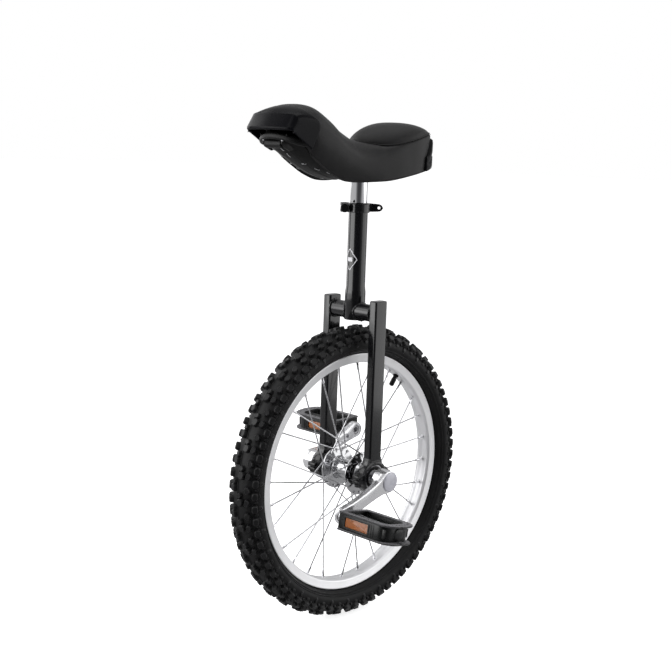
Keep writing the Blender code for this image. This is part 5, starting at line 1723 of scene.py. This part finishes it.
for side in (1, -1):
    way = Vector((0.9, side * 0.25, -0.25)).normalized()
    across = way.orthogonal().normalized()
    screws.append(rings_mesh([
        ring_at(Vector((172.6, side * 19.6, 724.6)) + way * height, across, way.cross(across),
                radius, 20)
        for height, radius in ((-1.0, 2.2), (0.6, 2.2), (1.2, 1.8), (1.5, 1.0))]))
place("handle_screws", join(screws), ZINC, "saddle", sharp=40.0)


# ------------------------------------------------------------- the rear bumper
def tail_ring(degrees):
    """Section of the band that wraps the saddle's tail; 0 degrees is straight back."""
    a = math.radians(degrees)
    t = abs(degrees) / 66.0
    c, s = abs(math.cos(a)) ** (2 / 2.1), abs(math.sin(a)) ** (2 / 2.1)
    low = table(HEM_Z, max(-130.9, PAD_X - 66.0 * c)) - 0.6
    high = 736.0 - 1.5 * t - 27.0 * ease(0.62, 1.0, t)
    middle = (low + high) / 2
    fat = 1.0 + 3.0 * (0.2 + 0.8 * math.sqrt(max(0.0, 1 - t ** 6)))
    section = [(-2.0, low + 1), (0.8, low), (fat * 0.8, low + 2.0), (fat, low + 5.5),
               (fat, middle - 4.0), (fat * 0.72, middle - 1.6), (fat * 0.72, middle + 1.6),
               (fat, middle + 4.0), (fat, high - 5.5), (fat * 0.8, high - 2.0), (0.8, high),
               (-2.0, high - 1)]
    return [Vector((PAD_X - (66.0 + off) * c, math.copysign((53.0 + off) * s, a), z))
            for off, z in section]


place("tail_bumper", rings_mesh([tail_ring(-66 + 132 * i / 56) for i in range(57)]), GLOSS,
      "saddle", "rear_bumper", 50.0)

# ------------------------------------------------------------------- the floor
floor_mesh = bmesh.new()
bmesh.ops.create_grid(floor_mesh, x_segments=2, y_segments=2, size=30.0)
floor = new_object("studio_floor", floor_mesh)
floor.data.materials.append(pale_floor())
floor.location.z = -0.0004
floor.visible_glossy = False

# ------------------------------------------------------------------- the world
# level directions: towards the camera, and across its view to the right
TOWARD = (0.699, 0.715, 0.0)
ACROSS = (-0.715, 0.699, 0.0)


def studio_world():
    """White to the camera; as light, grey that darkens towards the camera's side."""
    world = bpy.data.worlds.new("studio")
    SCENE.world = world
    world.use_nodes = True
    nodes, link = world.node_tree.nodes, world.node_tree.links.new
    nodes.clear()
    output = nodes.new("ShaderNodeOutputWorld")
    mix = nodes.new("ShaderNodeMixShader")
    path = nodes.new("ShaderNodeLightPath")
    light = nodes.new("ShaderNodeBackground")
    view = nodes.new("ShaderNodeBackground")
    view.inputs[0].default_value = (1, 1, 1, 1)
    view.inputs[1].default_value = 1.0
    light.inputs[1].default_value = 1.0
    coord = nodes.new("ShaderNodeTexCoord")
    dot = nodes.new("ShaderNodeVectorMath")
    dot.operation = "DOT_PRODUCT"
    dot.inputs[1].default_value = TOWARD
    ramp = nodes.new("ShaderNodeValToRGB")
    stops = ramp.color_ramp.elements
    stops[0].color = (0.46, 0.46, 0.465, 1)
    stops[1].color = (0.03, 0.03, 0.033, 1)
    stops.new(0.80).color = (0.42, 0.42, 0.425, 1)
    stops.new(0.93).color = (0.06, 0.06, 0.063, 1)
    to_unit = nodes.new("ShaderNodeMapRange")
    to_unit.inputs[1].default_value = -1.0
    to_unit.inputs[2].default_value = 1.0
    link(coord.outputs["Generated"], dot.inputs[0])
    link(dot.outputs["Value"], to_unit.inputs[0])
    link(to_unit.outputs[0], ramp.inputs[0])
    link(ramp.outputs[0], light.inputs[0])
    link(path.outputs["Is Camera Ray"], mix.inputs[0])
    link(light.outputs[0], mix.inputs[1])
    link(view.outputs[0], mix.inputs[2])
    link(mix.outputs[0], output.inputs[0])


studio_world()

# ------------------------------------------------------------------ the lights
TARGET = Vector((0.0, 0.0, 0.42))


def beside(base, across, toward, rise=0.0):
    return (base + Vector(ACROSS).normalized() * across + Vector(TOWARD).normalized() * toward
            + Vector((0, 0, rise)))


def softbox(name, spot, width, height, watts, aim=TARGET):
    data = bpy.data.lights.new(name, "AREA")
    data.shape = "RECTANGLE"
    data.size, data.size_y = width, height
    data.energy = watts
    obj = bpy.data.objects.new(name, data)
    SCENE.collection.objects.link(obj)
    obj.location = spot
    obj.rotation_mode = "QUATERNION"
    obj.rotation_quaternion = (spot - aim).to_track_quat("Z", "Y")


softbox("key_left", beside(TARGET, across=-1.71, toward=0.58, rise=0.55),
        width=2.5, height=1.9, watts=26)
softbox("post_card", beside(Vector((0, 0, 0.63)), across=-1.0, toward=0.42),
        width=1.0, height=0.42, watts=2.6, aim=Vector((0, 0, 0.65)))
softbox("fill_right", beside(TARGET, across=1.78, toward=-0.05, rise=0.45),
        width=2.1, height=2.0, watts=17)
softbox("top", TARGET + Vector((0.1, 0.1, 1.9)), width=2.2, height=2.2, watts=19)
softbox("back_left", beside(TARGET, across=-1.5, toward=-1.3, rise=0.7),
        width=1.0, height=1.8, watts=10)

# ------------------------------------------------------------------ the camera
CAMERA_PLACE = (1.302714, 1.294540, 0.720505)
CAMERA_RIGHT = (-0.71848597, 0.69468097, 0.03458707)
CAMERA_UP = (-0.08244749, -0.13443813, 0.9874861)
CAMERA_BACK = (0.69063762, 0.70664329, 0.15386661)

camera_data = bpy.data.cameras.new("camera")
camera_data.sensor_width = 36.0
camera_data.lens = 65.67
camera_data.clip_start, camera_data.clip_end = 0.05, 200.0
camera = bpy.data.objects.new("camera", camera_data)
SCENE.collection.objects.link(camera)
axes = Matrix((CAMERA_RIGHT, CAMERA_UP, CAMERA_BACK)).transposed()
camera.matrix_world = Matrix.Translation(CAMERA_PLACE) @ axes.to_4x4()
SCENE.camera = camera
SCENE.view_settings.view_transform = "Standard"
SCENE.view_settings.look = "None"
SCENE.view_settings.exposure = 0.0

bpy.context.view_layer.update()
